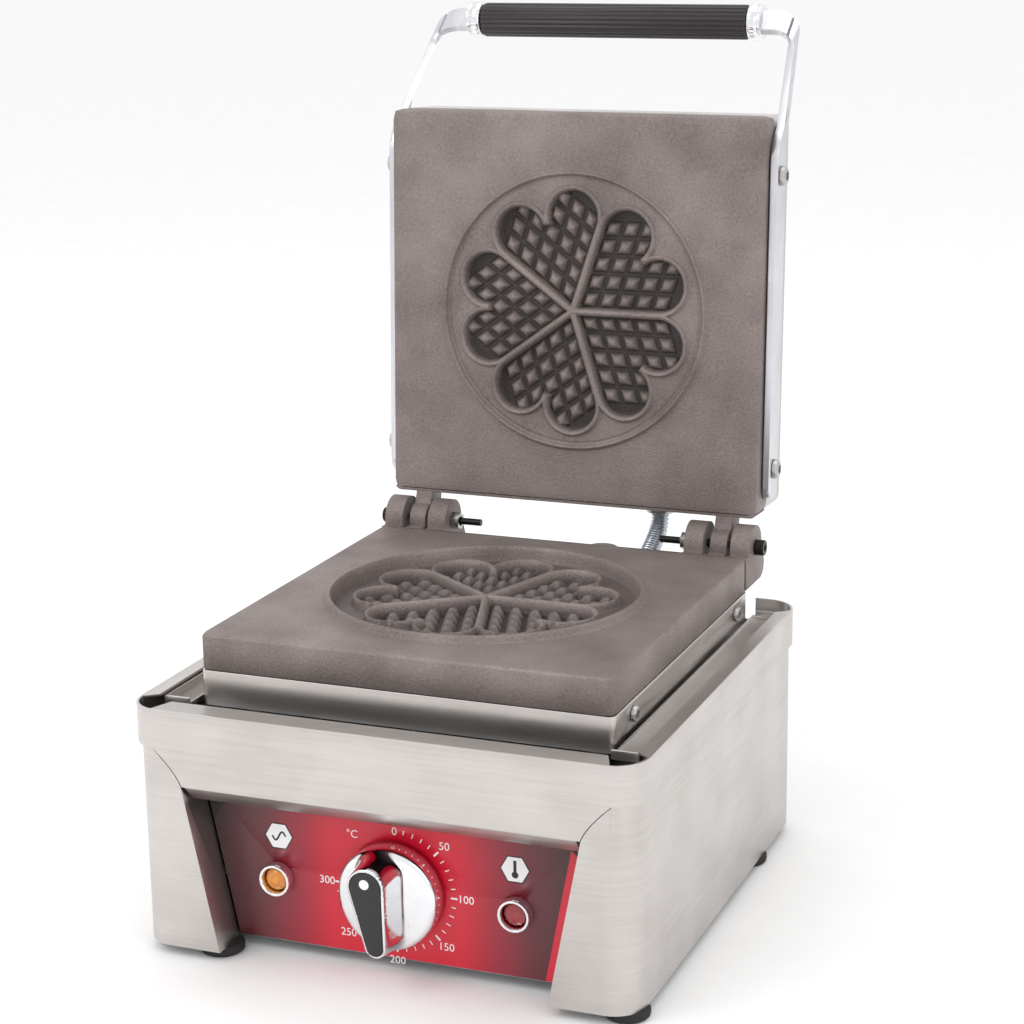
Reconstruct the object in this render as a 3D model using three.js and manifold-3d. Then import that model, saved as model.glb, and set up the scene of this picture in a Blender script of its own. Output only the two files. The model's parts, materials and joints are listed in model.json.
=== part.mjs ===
// Five-heart cast-iron waffle iron, standing on its feet with the lid open on its stop.
// Millimetres, +Z up, the control panel faces -Y. The lid's pieces are drawn closed, over the
// lower plate, and the lid group then turns them back about the hinge bolts.

import * as THREE from 'three';
import { mergeVertices } from 'three/addons/utils/BufferGeometryUtils.js';
import Module from 'manifold-3d';

const wasm = await Module();
wasm.setup();

// ---------------------------------------------------------------- driving dimensions
const FIT_GAP = 0.3; // air between two pieces that touch
const SHEET = 1.5; // stainless sheet

const FOOT_HEIGHT = 6;
const FOOT_RADIUS = 13;

const CABINET_WIDTH = 301;
const CABINET_DEPTH = 312;
const CABINET_TOP = 125.4;
const CABINET_CORNER = 19;

const RIM_WIDTH = 305;
const RIM_DEPTH = 316;
const RIM_BOTTOM = 126;
const RIM_TOP = 149;
const RIM_CORNER = 20;

// The front opening between the wings: half its width at the base and under the fascia strip.
const OPENING_HALF_BASE = 99.7;
const OPENING_HALF_FASCIA = 119.5;
const OPENING_HALF_TOP = 137;
const FASCIA_BOTTOM = 104;
const RECESS_DEPTH = 25; // from the wings' face back to the printed panel

const PLATE_SIDE = 250;
const PLATE_CENTRE_Y = 7.5;
const PLATE_BOTTOM = 161;
const PLATE_TOP = 182;
const PLATE_CORNER = 5;
const PLATE_GAP = 4.3; // between the two plates' faces with the lid down
const PLATE_POCKET = 9; // depth of the element's pocket in the back of each casting

const HINGE_Y = 150;
const HINGE_Z = 184.5;
const LID_OPEN_ANGLE = 93;
const EAR_INNER = [82, 94.5];
const EAR_OUTER = [112.5, 125];
const KNUCKLE_SPAN = [98, 109];
const BOLT_RADIUS = 3;

const SHELL_HEIGHT = 29.5;

const DIAL_Z = 49;
const KNOB_RADIUS = 30;
const KNOB_OFF_TILT = 8; // the off stop lies just short of the zero mark

const DEPTH_SHIFT = 43.95; // from the middle of the rim back to the middle of the open appliance

// ---------------------------------------------------------------- derived places
const LID_FACE = PLATE_TOP + PLATE_GAP;
const LID_PLATE_TOP = LID_FACE + 20.5;
const PLATE_REAR = PLATE_CENTRE_Y + PLATE_SIDE / 2;
const WING_FACE = -CABINET_DEPTH / 2;
const PANEL_FACE = WING_FACE + RECESS_DEPTH;

// ---------------------------------------------------------------- materials
function finish(color, roughness, metalness) {
  return new THREE.MeshStandardMaterial({ color, roughness, metalness });
}

const brushedSteel = finish(0xc9c6c4, 0.35, 1);
const castIron = finish(0x6e625f, 0.75, 0.6);
const rubber = finish(0x1b1a1a, 0.9, 0);
const printedRed = finish(0xd0102e, 0.4, 0);
const panelSteel = finish(0x2a2729, 0.5, 0.4);
const chrome = finish(0xdcdde0, 0.12, 1);
const zincSteel = finish(0xa9a8a6, 0.4, 1);
const blackPlastic = finish(0x232022, 0.5, 0);
const amberLens = finish(0xd98a1a, 0.2, 0);
const redLens = finish(0xa30f1d, 0.2, 0);
const elementSheath = finish(0x5d5a58, 0.6, 0.8);
const mineralWool = finish(0xd8cda9, 1, 0);
const ceramic = finish(0xe9e4da, 0.5, 0);
const conduitSteel = finish(0xaeb4bb, 0.35, 1);

// ---------------------------------------------------------------- solids
// A closed geometry as a solid that can be joined and cut.
function solid(geometry) {
  const bare = geometry.index ? geometry.toNonIndexed() : geometry.clone();
  bare.deleteAttribute('normal');
  bare.deleteAttribute('uv');
  const merged = mergeVertices(bare, 1e-4);
  const corners = merged.index.array;
  const triangles = [];
  for (let i = 0; i < corners.length; i += 3) {
    const [a, b, c] = corners.slice(i, i + 3);
    if (a !== b && b !== c && c !== a) triangles.push(a, b, c);
  }
  const vertProperties = new Float32Array(merged.attributes.position.array);
  const shell = (triVerts) => new wasm.Manifold(new wasm.Mesh({ numProp: 3, vertProperties, triVerts }));
  const body = shell(new Uint32Array(triangles));
  // A turned profile drawn the other way round faces inwards, so it is turned over.
  return body.volume() > 0 ? body : shell(new Uint32Array(triangles).reverse());
}

function union(...solids) {
  return solids.reduce((whole, piece) => whole.add(piece));
}

// Adds a named mesh of a solid to a group.
function place(group, name, shape, material) {
  const { vertProperties, triVerts } = shape.getMesh();
  const geometry = new THREE.BufferGeometry();
  geometry.setAttribute('position', new THREE.BufferAttribute(vertProperties, 3));
  geometry.setIndex(new THREE.BufferAttribute(triVerts, 1));
  geometry.computeVertexNormals();
  const mesh = new THREE.Mesh(geometry, material);
  mesh.name = name;
  group.add(mesh);
  return mesh;
}

function block([x0, x1], [y0, y1], [z0, z1]) {
  const geometry = new THREE.BoxGeometry(x1 - x0, y1 - y0, z1 - z0);
  geometry.translate((x0 + x1) / 2, (y0 + y1) / 2, (z0 + z1) / 2);
  return solid(geometry);
}

const X = new THREE.Vector3(1, 0, 0);
const Y = new THREE.Vector3(0, 1, 0);
const Z = new THREE.Vector3(0, 0, 1);
const MINUS_Y = new THREE.Vector3(0, -1, 0);

function extrude(shape, depth, curveSegments) {
  return new THREE.ExtrudeGeometry(shape, { depth, bevelEnabled: false, curveSegments });
}

// An outline in XY raised from z0 to z1.
function alongZ(shape, z0, z1, curveSegments = 4) {
  const geometry = extrude(shape, z1 - z0, curveSegments);
  geometry.translate(0, 0, z0);
  return solid(geometry);
}

// An outline in XZ carried from y0 (front) to y1 (back).
function alongY(shape, y0, y1, curveSegments = 6) {
  const geometry = extrude(shape, y1 - y0, curveSegments);
  geometry.applyMatrix4(new THREE.Matrix4().makeBasis(X, Z, MINUS_Y));
  geometry.translate(0, y1, 0);
  return solid(geometry);
}

// An outline in YZ carried from x0 to x1.
function alongX(shape, x0, x1, curveSegments = 6) {
  const geometry = extrude(shape, x1 - x0, curveSegments);
  geometry.applyMatrix4(new THREE.Matrix4().makeBasis(Y, Z, X));
  geometry.translate(x0, 0, 0);
  return solid(geometry);
}

function rod(axis, radius, from, to, [a, b], sides = 16) {
  const geometry = new THREE.CylinderGeometry(radius, radius, to - from, sides);
  const middle = (from + to) / 2;
  if (axis === 'x') geometry.rotateZ(Math.PI / 2).translate(middle, a, b);
  if (axis === 'y') geometry.translate(a, middle, b);
  if (axis === 'z') geometry.rotateX(Math.PI / 2).translate(a, b, middle);
  return solid(geometry);
}

// A turned piece about a vertical axis; the profile is a list of [radius, z].
function turnedZ(profile, [x, y], sides = 40) {
  const points = profile.map(([r, z]) => new THREE.Vector2(r, z));
  const geometry = new THREE.LatheGeometry(points, sides);
  geometry.rotateX(Math.PI / 2).translate(x, y, 0);
  return solid(geometry);
}

// A turned piece about an axis that points at the user; the profile is [radius, y].
function turnedY(profile, [x, z], sides = 24) {
  const points = profile.map(([r, y]) => new THREE.Vector2(r, y));
  const geometry = new THREE.LatheGeometry(points, sides);
  geometry.translate(x, 0, z);
  return solid(geometry);
}

// A tube of round section along a list of points.
function tube(points, radius, steps, sides = 8) {
  const section = new THREE.Shape();
  for (let i = 0; i < sides; i += 1) {
    const angle = (2 * Math.PI * i) / sides;
    const [u, v] = [radius * Math.cos(angle), radius * Math.sin(angle)];
    if (i === 0) section.moveTo(u, v);
    else section.lineTo(u, v);
  }
  const path = new THREE.CatmullRomCurve3(points.map((p) => new THREE.Vector3(...p)), false, 'centripetal');
  return solid(new THREE.ExtrudeGeometry(section, { steps, extrudePath: path, curveSegments: 1 }));
}

function roundedRectangle(width, depth, radius, centreY = 0) {
  const [w, d] = [width / 2, depth / 2];
  const shape = new THREE.Shape();
  shape.moveTo(-w + radius, centreY - d);
  shape.absarc(w - radius, centreY - d + radius, radius, -Math.PI / 2, 0, false);
  shape.absarc(w - radius, centreY + d - radius, radius, 0, Math.PI / 2, false);
  shape.absarc(-w + radius, centreY + d - radius, radius, Math.PI / 2, Math.PI, false);
  shape.absarc(-w + radius, centreY - d + radius, radius, Math.PI, 1.5 * Math.PI, false);
  return shape;
}

function polygon(points) {
  return new THREE.Shape(points.map(([u, v]) => new THREE.Vector2(u, v)));
}

// Open frame of sheet: a rounded rectangle's wall from z0 to z1.
function sheetFrame(width, depth, corner, z0, z1, centreY = 0) {
  const outer = alongZ(roundedRectangle(width, depth, corner, centreY), z0, z1);
  const inner = alongZ(
    roundedRectangle(width - 2 * SHEET, depth - 2 * SHEET, corner - SHEET, centreY),
    z0 - 1,
    z1 + 1,
  );
  return outer.subtract(inner);
}

// ---------------------------------------------------------------- cabinet
// Half the width of the front opening at a height, along its slanted edge.
function openingHalfWidth(z) {
  const rise = (z - FOOT_HEIGHT) / (FASCIA_BOTTOM - FOOT_HEIGHT);
  return OPENING_HALF_BASE + rise * (OPENING_HALF_FASCIA - OPENING_HALF_BASE);
}

// The front opening in XZ, slanted up to the fascia strip and curved out beside it.
function openingOutline(z0, z1, inset) {
  const foot = openingHalfWidth(z0) - inset;
  const knee = OPENING_HALF_FASCIA - inset;
  const head = OPENING_HALF_TOP - inset;
  const shape = new THREE.Shape();
  shape.moveTo(-foot, z0);
  shape.lineTo(foot, z0);
  shape.lineTo(knee, FASCIA_BOTTOM);
  shape.quadraticCurveTo(knee + 3.5, FASCIA_BOTTOM + 9, head, z1);
  shape.lineTo(-head, z1);
  shape.quadraticCurveTo(-knee - 3.5, FASCIA_BOTTOM + 9, -knee, FASCIA_BOTTOM);
  return shape;
}

function cabinetShell() {
  const walls = sheetFrame(CABINET_WIDTH, CABINET_DEPTH, CABINET_CORNER, FOOT_HEIGHT, CABINET_TOP);
  const opening = alongY(openingOutline(FOOT_HEIGHT - 2, CABINET_TOP, 0), WING_FACE - 5, WING_FACE + 4);
  const aboveOpening = block(
    [-OPENING_HALF_TOP, OPENING_HALF_TOP],
    [WING_FACE - 5, WING_FACE + 4],
    [CABINET_TOP - 0.1, CABINET_TOP + 2],
  );
  const glandHole = rod('y', 8.3, 140, 170, [-60, 36]);
  let shell = walls.subtract(opening).subtract(aboveOpening).subtract(glandHole);
  for (const side of [-1, 1]) {
    const flange = polygon([
      [side * openingHalfWidth(FOOT_HEIGHT), FOOT_HEIGHT],
      [side * (openingHalfWidth(FOOT_HEIGHT) + SHEET), FOOT_HEIGHT],
      [side * (OPENING_HALF_FASCIA + SHEET), FASCIA_BOTTOM],
      [side * OPENING_HALF_FASCIA, FASCIA_BOTTOM],
    ]);
    shell = shell.add(alongY(flange, WING_FACE, PANEL_FACE - 0.5));
  }
  return shell;
}

function fasciaStrip() {
  const face = alongY(openingOutline(FOOT_HEIGHT, CABINET_TOP, 0.5), WING_FACE, WING_FACE + SHEET);
  const below = block([-160, 160], [WING_FACE - 1, WING_FACE + 4], [0, FASCIA_BOTTOM]);
  const half = OPENING_HALF_FASCIA - 2.5;
  const lip = alongX(
    polygon([
      [WING_FACE, FASCIA_BOTTOM],
      [WING_FACE + 8, FASCIA_BOTTOM - 9],
      [WING_FACE + 9.1, FASCIA_BOTTOM - 8],
      [WING_FACE + SHEET, FASCIA_BOTTOM + 0.8],
      [WING_FACE + SHEET, FASCIA_BOTTOM + 2],
      [WING_FACE, FASCIA_BOTTOM + 2],
    ]),
    -half,
    half,
  );
  return face.subtract(below).add(lip);
}

const LAMP_X = 73;
const LAMP_Z = 46.5;

function controlPanel(front, thickness) {
  const [z0, z1] = [8, 100];
  const inset = 0.6;
  const outline = polygon([
    [-openingHalfWidth(z0) + inset, z0],
    [openingHalfWidth(z0) - inset, z0],
    [openingHalfWidth(z1) - inset, z1],
    [-openingHalfWidth(z1) + inset, z1],
  ]);
  let sheet = alongY(outline, front, front + thickness);
  sheet = sheet.subtract(rod('y', 5, front - 2, front + thickness + 2, [0, DIAL_Z]));
  for (const x of [-LAMP_X, LAMP_X]) {
    sheet = sheet.subtract(rod('y', 7.6, front - 2, front + thickness + 2, [x, LAMP_Z]));
  }
  return sheet;
}

// The floor of the cabinet reaches forward into both wings, beside the open recess.
function bottomPlate() {
  const w = CABINET_WIDTH / 2 - SHEET - FIT_GAP;
  const d = CABINET_DEPTH / 2 - SHEET - FIT_GAP;
  const corner = CABINET_CORNER - SHEET;
  const horn = openingHalfWidth(FOOT_HEIGHT + 2) + SHEET + 0.6;
  const back = PANEL_FACE + 2.6;
  const shape = new THREE.Shape();
  shape.moveTo(-horn, back);
  shape.lineTo(horn, back);
  shape.lineTo(horn, -d);
  shape.absarc(w - corner, -d + corner, corner, -Math.PI / 2, 0, false);
  shape.absarc(w - corner, d - corner, corner, 0, Math.PI / 2, false);
  shape.absarc(-w + corner, d - corner, corner, Math.PI / 2, Math.PI, false);
  shape.absarc(-w + corner, -d + corner, corner, Math.PI, 1.5 * Math.PI, false);
  shape.lineTo(-horn, -d);
  return alongZ(shape, FOOT_HEIGHT + FIT_GAP, FOOT_HEIGHT + FIT_GAP + SHEET);
}

function foot(x, y) {
  const r = FOOT_RADIUS;
  const h = FOOT_HEIGHT;
  return turnedZ([[0, 0], [r - 1.5, 0], [r, 1.5], [r, h - 1], [r - 0.8, h], [0, h]], [x, y], 20);
}

// ---------------------------------------------------------------- rim, drip channels and deck
const FLANGE_FRONT = 16;
const FLANGE_SIDE = 9;
const LEDGE_WIDTH = 8;
const REAR_GAP_HALF = 123.5;
const REAR_GAP_BOTTOM = 134.6;

function topRim() {
  const [w, d] = [RIM_WIDTH / 2, RIM_DEPTH / 2];
  const band = sheetFrame(RIM_WIDTH, RIM_DEPTH, RIM_CORNER, RIM_BOTTOM, RIM_TOP);
  const rearGap = block([-REAR_GAP_HALF, REAR_GAP_HALF], [d - 10, d + 5], [REAR_GAP_BOTTOM, RIM_TOP + 5]);
  const ledge = alongZ(
    roundedRectangle(RIM_WIDTH - 1, RIM_DEPTH - 1, RIM_CORNER),
    RIM_BOTTOM,
    RIM_BOTTOM + SHEET,
  );
  const ledgeCut = alongZ(
    roundedRectangle(RIM_WIDTH - 2 * LEDGE_WIDTH, RIM_DEPTH - 2 * LEDGE_WIDTH, RIM_CORNER - LEDGE_WIDTH),
    RIM_BOTTOM - 1,
    RIM_BOTTOM + 5,
  );
  const frontFlange = alongZ(
    polygon([
      [-w + RIM_CORNER, -d + 0.5],
      [w - RIM_CORNER, -d + 0.5],
      [w - RIM_CORNER + 4, -d + 1.2],
      [w - RIM_CORNER - 2, -d + FLANGE_FRONT],
      [-w + RIM_CORNER + 2, -d + FLANGE_FRONT],
      [-w + RIM_CORNER - 4, -d + 1.2],
    ]),
    RIM_TOP - SHEET,
    RIM_TOP,
  );
  let rim = band.subtract(rearGap).add(ledge.subtract(ledgeCut)).add(frontFlange);
  for (const side of [-1, 1]) {
    const outline = [
      [w - 0.5, -d + RIM_CORNER],
      [w - 0.5, d - RIM_CORNER],
      [w - FLANGE_SIDE, d - RIM_CORNER - 6],
      [w - FLANGE_SIDE, -d + RIM_CORNER + 6],
    ].map(([x, y]) => [side * x, y]);
    rim = rim.add(alongZ(polygon(outline), RIM_TOP - SHEET, RIM_TOP));
  }
  return rim;
}

const DECK_BOTTOM = RIM_BOTTOM + SHEET + FIT_GAP;
const STANDOFF_REACH = 100;

// The sheet inside the rim that carries the lower plate on its four standoffs.
function deckPlate() {
  const sheet = alongZ(
    roundedRectangle(RIM_WIDTH - 4, RIM_DEPTH - 4, 17),
    DECK_BOTTOM,
    DECK_BOTTOM + SHEET,
  );
  return sheet
    .subtract(rod('z', 5, DECK_BOTTOM - 1, DECK_BOTTOM + 3, [0, -100]))
    .subtract(rod('z', 7, DECK_BOTTOM - 1, DECK_BOTTOM + 3, [CONDUIT_X, CONDUIT_BASE_Y]));
}

// A shallow channel beside the plate, tucked under the rim's side flange.
function dripChannel(side) {
  const [inner, outer] = [127, 143];
  const [y0, y1] = [-128.5, 138];
  const [floor, lip] = [141.5, 146.9];
  const channel = block([inner, outer], [y0, y1], [floor, lip]);
  const hollow = block([inner + SHEET, outer - SHEET], [y0 + SHEET, y1 - SHEET], [floor + SHEET, lip + 1]);
  const lowInnerWall = block([inner - 1, inner + SHEET + 1], [y0 + SHEET, y1 + 1], [floor + 2.4, lip + 1]);
  const gutter = channel.subtract(hollow).subtract(lowInnerWall);
  return side > 0 ? gutter : gutter.scale([-1, 1, 1]);
}

// ---------------------------------------------------------------- waffle pattern
const RIB_ANGLES = [18, 90, 162, 234, 306]; // clockwise from the hinge side
const LOBE_DISTANCE = 60.5; // from the plate's middle to the lobes of a heart
const RIB_HALF = 1.8;
const HEART_WALL = 2.2;
const HALF_SECTOR = Math.PI / 5;

// One heart about its own axis (+Y), with its outline moved out by grow.
function heartOutline(grow) {
  const across = LOBE_DISTANCE * Math.sin(HALF_SECTOR / 2);
  const along = LOBE_DISTANCE * Math.cos(HALF_SECTOR / 2);
  const radius = across - RIB_HALF + grow;
  const meet = radius > across ? Math.acos(-across / radius) : Math.PI;
  const shape = new THREE.Shape();
  shape.moveTo(0, (RIB_HALF - grow) / Math.sin(HALF_SECTOR));
  shape.lineTo(across + radius * Math.cos(HALF_SECTOR), along - radius * Math.sin(HALF_SECTOR));
  shape.absarc(across, along, radius, -HALF_SECTOR, meet, false);
  shape.absarc(-across, along, radius, Math.PI - meet, Math.PI + HALF_SECTOR, false);
  return shape;
}

// All five hearts as prisms about the plates' middle.
function hearts(grow, z0, z1) {
  const prisms = RIB_ANGLES.map((angle) => {
    const geometry = extrude(heartOutline(grow), z1 - z0, 5);
    geometry.rotateZ(-THREE.MathUtils.degToRad(angle + 36));
    geometry.translate(0, PLATE_CENTRE_Y, z0);
    return solid(geometry);
  });
  return union(...prisms);
}

function plateSlab(z0, z1) {
  return alongZ(roundedRectangle(PLATE_SIDE, PLATE_SIDE, PLATE_CORNER, PLATE_CENTRE_Y), z0, z1, 3);
}

function platePocket(z0, z1) {
  return alongZ(roundedRectangle(PLATE_SIDE - 68, PLATE_SIDE - 40, 10, PLATE_CENTRE_Y), z0, z1, 3);
}

const DISH_RADIUS = 91.5;
const DISH_DEPTH = 5.5;
const BEAD_HEIGHT = 4;
const CAVITY_DEPTH = 9;

// An ear of the lower casting: a lug behind the plate with a round eye for the bolt.
function ear([x0, x1]) {
  const eye = 14;
  const shape = new THREE.Shape();
  shape.moveTo(PLATE_REAR - 3, PLATE_BOTTOM + 0.5);
  shape.lineTo(HINGE_Y + 12, PLATE_BOTTOM + 0.5);
  shape.quadraticCurveTo(HINGE_Y + 20, PLATE_BOTTOM + 2, HINGE_Y + 20, PLATE_BOTTOM + 10);
  shape.lineTo(HINGE_Y + eye, HINGE_Z);
  shape.absarc(HINGE_Y, HINGE_Z, eye, 0, Math.PI, false);
  shape.lineTo(HINGE_Y - eye, PLATE_TOP - 0.2);
  shape.lineTo(PLATE_REAR - 3, PLATE_TOP - 0.2);
  return alongX(shape, x0, x1, 8);
}

function mirrored(span) {
  return [-span[1], -span[0]];
}

function lowerPlate() {
  const bead = turnedZ(
    [
      [DISH_RADIUS, PLATE_TOP - 1],
      [DISH_RADIUS + 6, PLATE_TOP - 1],
      [DISH_RADIUS + 6, PLATE_TOP],
      [DISH_RADIUS + 3, PLATE_TOP + BEAD_HEIGHT],
      [DISH_RADIUS + 0.8, PLATE_TOP + BEAD_HEIGHT],
      [DISH_RADIUS, PLATE_TOP],
      [DISH_RADIUS, PLATE_TOP - 1],
    ],
    [0, PLATE_CENTRE_Y],
    48,
  );
  const dish = rod('z', DISH_RADIUS, PLATE_TOP - DISH_DEPTH, PLATE_TOP + 9, [0, PLATE_CENTRE_Y], 48);
  const walls = hearts(HEART_WALL, PLATE_TOP - DISH_DEPTH - 1, PLATE_TOP);
  const cavities = hearts(0, PLATE_TOP - CAVITY_DEPTH, PLATE_TOP + 5);
  const rearLug = rod('z', 10, PLATE_BOTTOM + 4, PLATE_TOP, [30, PLATE_REAR - 4.5]);
  let plate = union(plateSlab(PLATE_BOTTOM, PLATE_TOP), rearLug, bead.subtract(dish));
  for (const span of [EAR_INNER, EAR_OUTER]) {
    plate = plate.add(ear(span)).add(ear(mirrored(span)));
  }
  plate = plate.subtract(dish).add(walls).subtract(cavities);
  plate = plate.subtract(platePocket(PLATE_BOTTOM - 1, PLATE_BOTTOM + PLATE_POCKET));
  return plate.subtract(rod('x', BOLT_RADIUS + 0.25, -140, 140, [HINGE_Y, HINGE_Z]));
}

// With the lid open, the heel stands against the back edge of the lower plate.
const HEEL_FAR = 12;
const LEAN = THREE.MathUtils.degToRad(LID_OPEN_ANGLE - 90);
const HEEL_REACH = HINGE_Y - PLATE_REAR - FIT_GAP - HEEL_FAR * Math.sin(LEAN);

// A knuckle of the upper casting, with the heel that meets the lower plate when the lid is open.
function knuckle([x0, x1]) {
  const radius = 10;
  const barrel = rod('x', radius, x0, x1, [HINGE_Y, HINGE_Z]);
  const arm = alongX(
    polygon([
      [PLATE_REAR - 3, LID_FACE + 1],
      [HINGE_Y - 2, LID_FACE - 5],
      [HINGE_Y + 7, HINGE_Z + 6.2],
      [HINGE_Y + 2, LID_FACE + 12],
      [PLATE_REAR - 3, LID_PLATE_TOP - 3],
    ]),
    x0,
    x1,
  );
  const heel = block([x0, x1], [HINGE_Y + 3.5, HINGE_Y + HEEL_FAR], [HINGE_Z - HEEL_REACH, HINGE_Z]);
  return union(barrel, arm, heel);
}

function upperPlate() {
  const ringBead = turnedZ(
    [
      [86.4, LID_FACE + 1],
      [86.8, LID_FACE - 2.5],
      [88.6, LID_FACE - 2.5],
      [89.4, LID_FACE + 1],
      [86.4, LID_FACE + 1],
    ],
    [0, PLATE_CENTRE_Y],
    48,
  );
  const walls = hearts(HEART_WALL, LID_FACE - 2.5, LID_FACE + 1);
  const cavities = hearts(0, LID_FACE - 5, LID_FACE + CAVITY_DEPTH - 3);
  const clearance = rod('x', BOLT_RADIUS + 0.4, -140, 140, [HINGE_Y, HINGE_Z], 24);
  let plate = union(plateSlab(LID_FACE, LID_PLATE_TOP), ringBead, walls);
  plate = plate.add(knuckle(KNUCKLE_SPAN)).add(knuckle(mirrored(KNUCKLE_SPAN)));
  plate = plate.subtract(cavities).subtract(platePocket(LID_PLATE_TOP - PLATE_POCKET, LID_PLATE_TOP + 1));
  for (const y of HANDLE_BOLT_Y) {
    for (const span of [BOLT_HOLE_SPAN, mirrored(BOLT_HOLE_SPAN)]) {
      plate = plate.subtract(rod('x', BOLT_HOLE_RADIUS, ...span, [y, BAR_Z], 8));
    }
  }
  return plate.subtract(clearance);
}

// ---------------------------------------------------------------- heating
// A tubular element in four runs, flat at height z, with both ends at the hinge side.
function heatingElement(z) {
  const [outer, inner] = [66, 22];
  const [front, back, ends] = [PLATE_CENTRE_Y - 62, PLATE_CENTRE_Y + 52, PLATE_CENTRE_Y + 88];
  const bend = (outer - inner) / 2;
  const points = [[-outer, ends, z], [-outer, ends - 30, z], [-outer, front + 20, z]];
  const turn = (cx, cy, radius, from, to) => {
    for (let step = 0; step <= 4; step += 1) {
      const angle = from + ((to - from) * step) / 4;
      points.push([cx + radius * Math.cos(angle), cy + radius * Math.sin(angle), z]);
    }
  };
  turn(-(outer + inner) / 2, front, bend, Math.PI, 2 * Math.PI);
  turn(0, back, inner, Math.PI, 0);
  turn((outer + inner) / 2, front, bend, Math.PI, 2 * Math.PI);
  points.push([outer, front + 20, z], [outer, ends - 30, z], [outer, ends, z]);
  return tube(points, 4, 44, 6);
}

function pad(width, depth, z0, z1) {
  return alongZ(roundedRectangle(width, depth, 6, PLATE_CENTRE_Y), z0, z1, 3);
}

// ---------------------------------------------------------------- lid pieces, drawn closed
const SHELL_BOTTOM = LID_PLATE_TOP + 0.4;
const BAR_THICKNESS = 5;
const BAR_WIDTH = 19;
const BAR_INNER = PLATE_SIDE / 2 + 0.7;
const BAR_Z = HINGE_Z + 18;
const BAR_REAR_Y = HINGE_Y - 27.5;
const BAR_BEND_Y = HINGE_Y - 255;
const GRIP_Y = HINGE_Y - 323.5;
const GRIP_Z = HINGE_Z + 75.8;
const GRIP_HALF = 91;
const CAP_LENGTH = 10;
const HANDLE_BOLT_Y = [HINGE_Y - 47.5, HINGE_Y - 231.5];
const BOLT_HOLE_RADIUS = 2.9;
const BOLT_HOLE_SPAN = [PLATE_SIDE / 2 - 17, PLATE_SIDE / 2 + 15];

function upperShell() {
  const top = SHELL_BOTTOM + SHELL_HEIGHT;
  const outer = alongZ(roundedRectangle(PLATE_SIDE, PLATE_SIDE, 8, PLATE_CENTRE_Y), SHELL_BOTTOM, top);
  const inner = alongZ(
    roundedRectangle(PLATE_SIDE - 2 * SHEET, PLATE_SIDE - 2 * SHEET, 8 - SHEET, PLATE_CENTRE_Y),
    SHELL_BOTTOM - 1,
    top - SHEET,
  );
  const conduitHole = rod('y', 6.3, PLATE_REAR - 5, PLATE_REAR + 5, [CONDUIT_X, LID_FITTING_Z]);
  return outer.subtract(inner).subtract(conduitHole);
}

// The flat bar that runs along a side of the lid and rises to the grip, then turns in towards it.
function bailSide(side) {
  const half = BAR_WIDTH / 2;
  const [dy, dz] = [BAR_BEND_Y - GRIP_Y, GRIP_Z - BAR_Z];
  const reach = Math.hypot(dy, dz);
  const lean = Math.atan2(dz, dy);
  const mitre = half * Math.tan(lean / 2);
  const [ny, nz] = [Math.sin(lean), Math.cos(lean)];
  const shape = new THREE.Shape();
  shape.moveTo(BAR_BEND_Y - mitre, BAR_Z - half);
  shape.lineTo(BAR_REAR_Y - half, BAR_Z - half);
  shape.absarc(BAR_REAR_Y - half, BAR_Z, half, -Math.PI / 2, Math.PI / 2, false);
  shape.lineTo(BAR_BEND_Y + mitre, BAR_Z + half);
  shape.lineTo(GRIP_Y + half * ny, GRIP_Z + half * nz);
  shape.lineTo(GRIP_Y - half * ny, GRIP_Z - half * nz);
  const span = [BAR_INNER, BAR_INNER + BAR_THICKNESS];
  const arm = alongX(shape, ...(side > 0 ? span : mirrored(span)), 8);

  // The bar's end is turned in across the grip's axis, flush with the arm's end.
  const capFace = GRIP_HALF + CAP_LENGTH;
  const turnIn = new THREE.BoxGeometry(span[1] - capFace, BAR_THICKNESS, BAR_WIDTH);
  turnIn.rotateX(-lean);
  const inset = BAR_THICKNESS / 2 / reach;
  turnIn.translate(side * (span[1] + capFace) * 0.5, GRIP_Y + inset * dy, GRIP_Z - inset * dz);
  return arm.add(solid(turnIn));
}

function handleBail() {
  const spindle = rod('x', 5, -GRIP_HALF - CAP_LENGTH - 3, GRIP_HALF + CAP_LENGTH + 3, [GRIP_Y, GRIP_Z]);
  let bail = union(bailSide(-1), bailSide(1), spindle);
  for (const y of HANDLE_BOLT_Y) {
    bail = bail.subtract(rod('x', BOLT_HOLE_RADIUS, -140, 140, [y, BAR_Z], 8));
  }
  return bail;
}

function ringAlongX(outerRadius, boreRadius, x0, x1, centre, sides = 24) {
  const bore = rod('x', boreRadius, x0 - 1, x1 + 1, centre, sides);
  return rod('x', outerRadius, x0, x1, centre, sides).subtract(bore);
}

// A pan-head bolt that points inwards from the side given by its sign.
function sideBolt(side, headFace, headRadius, headHeight, shankRadius, shankEnd, centre) {
  const head = rod('x', headRadius, headFace, headFace + headHeight, centre);
  const shank = rod('x', shankRadius, shankEnd, headFace + 0.5, centre, 10);
  const bolt = head.add(shank);
  return side > 0 ? bolt : bolt.scale([-1, 1, 1]);
}

// ---------------------------------------------------------------- conduit
const CONDUIT_X = 48.5;
const CONDUIT_RADIUS = 6;
const CONDUIT_BASE_Y = 142;
const CONDUIT_BASE_Z = 148;
const LID_FITTING_Z = LID_PLATE_TOP + 18;
const LID_FITTING_REACH = 9;
const CONDUIT_GAP = 0.8; // the conduit's ends lean a little, so they keep clear of the fittings

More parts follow.
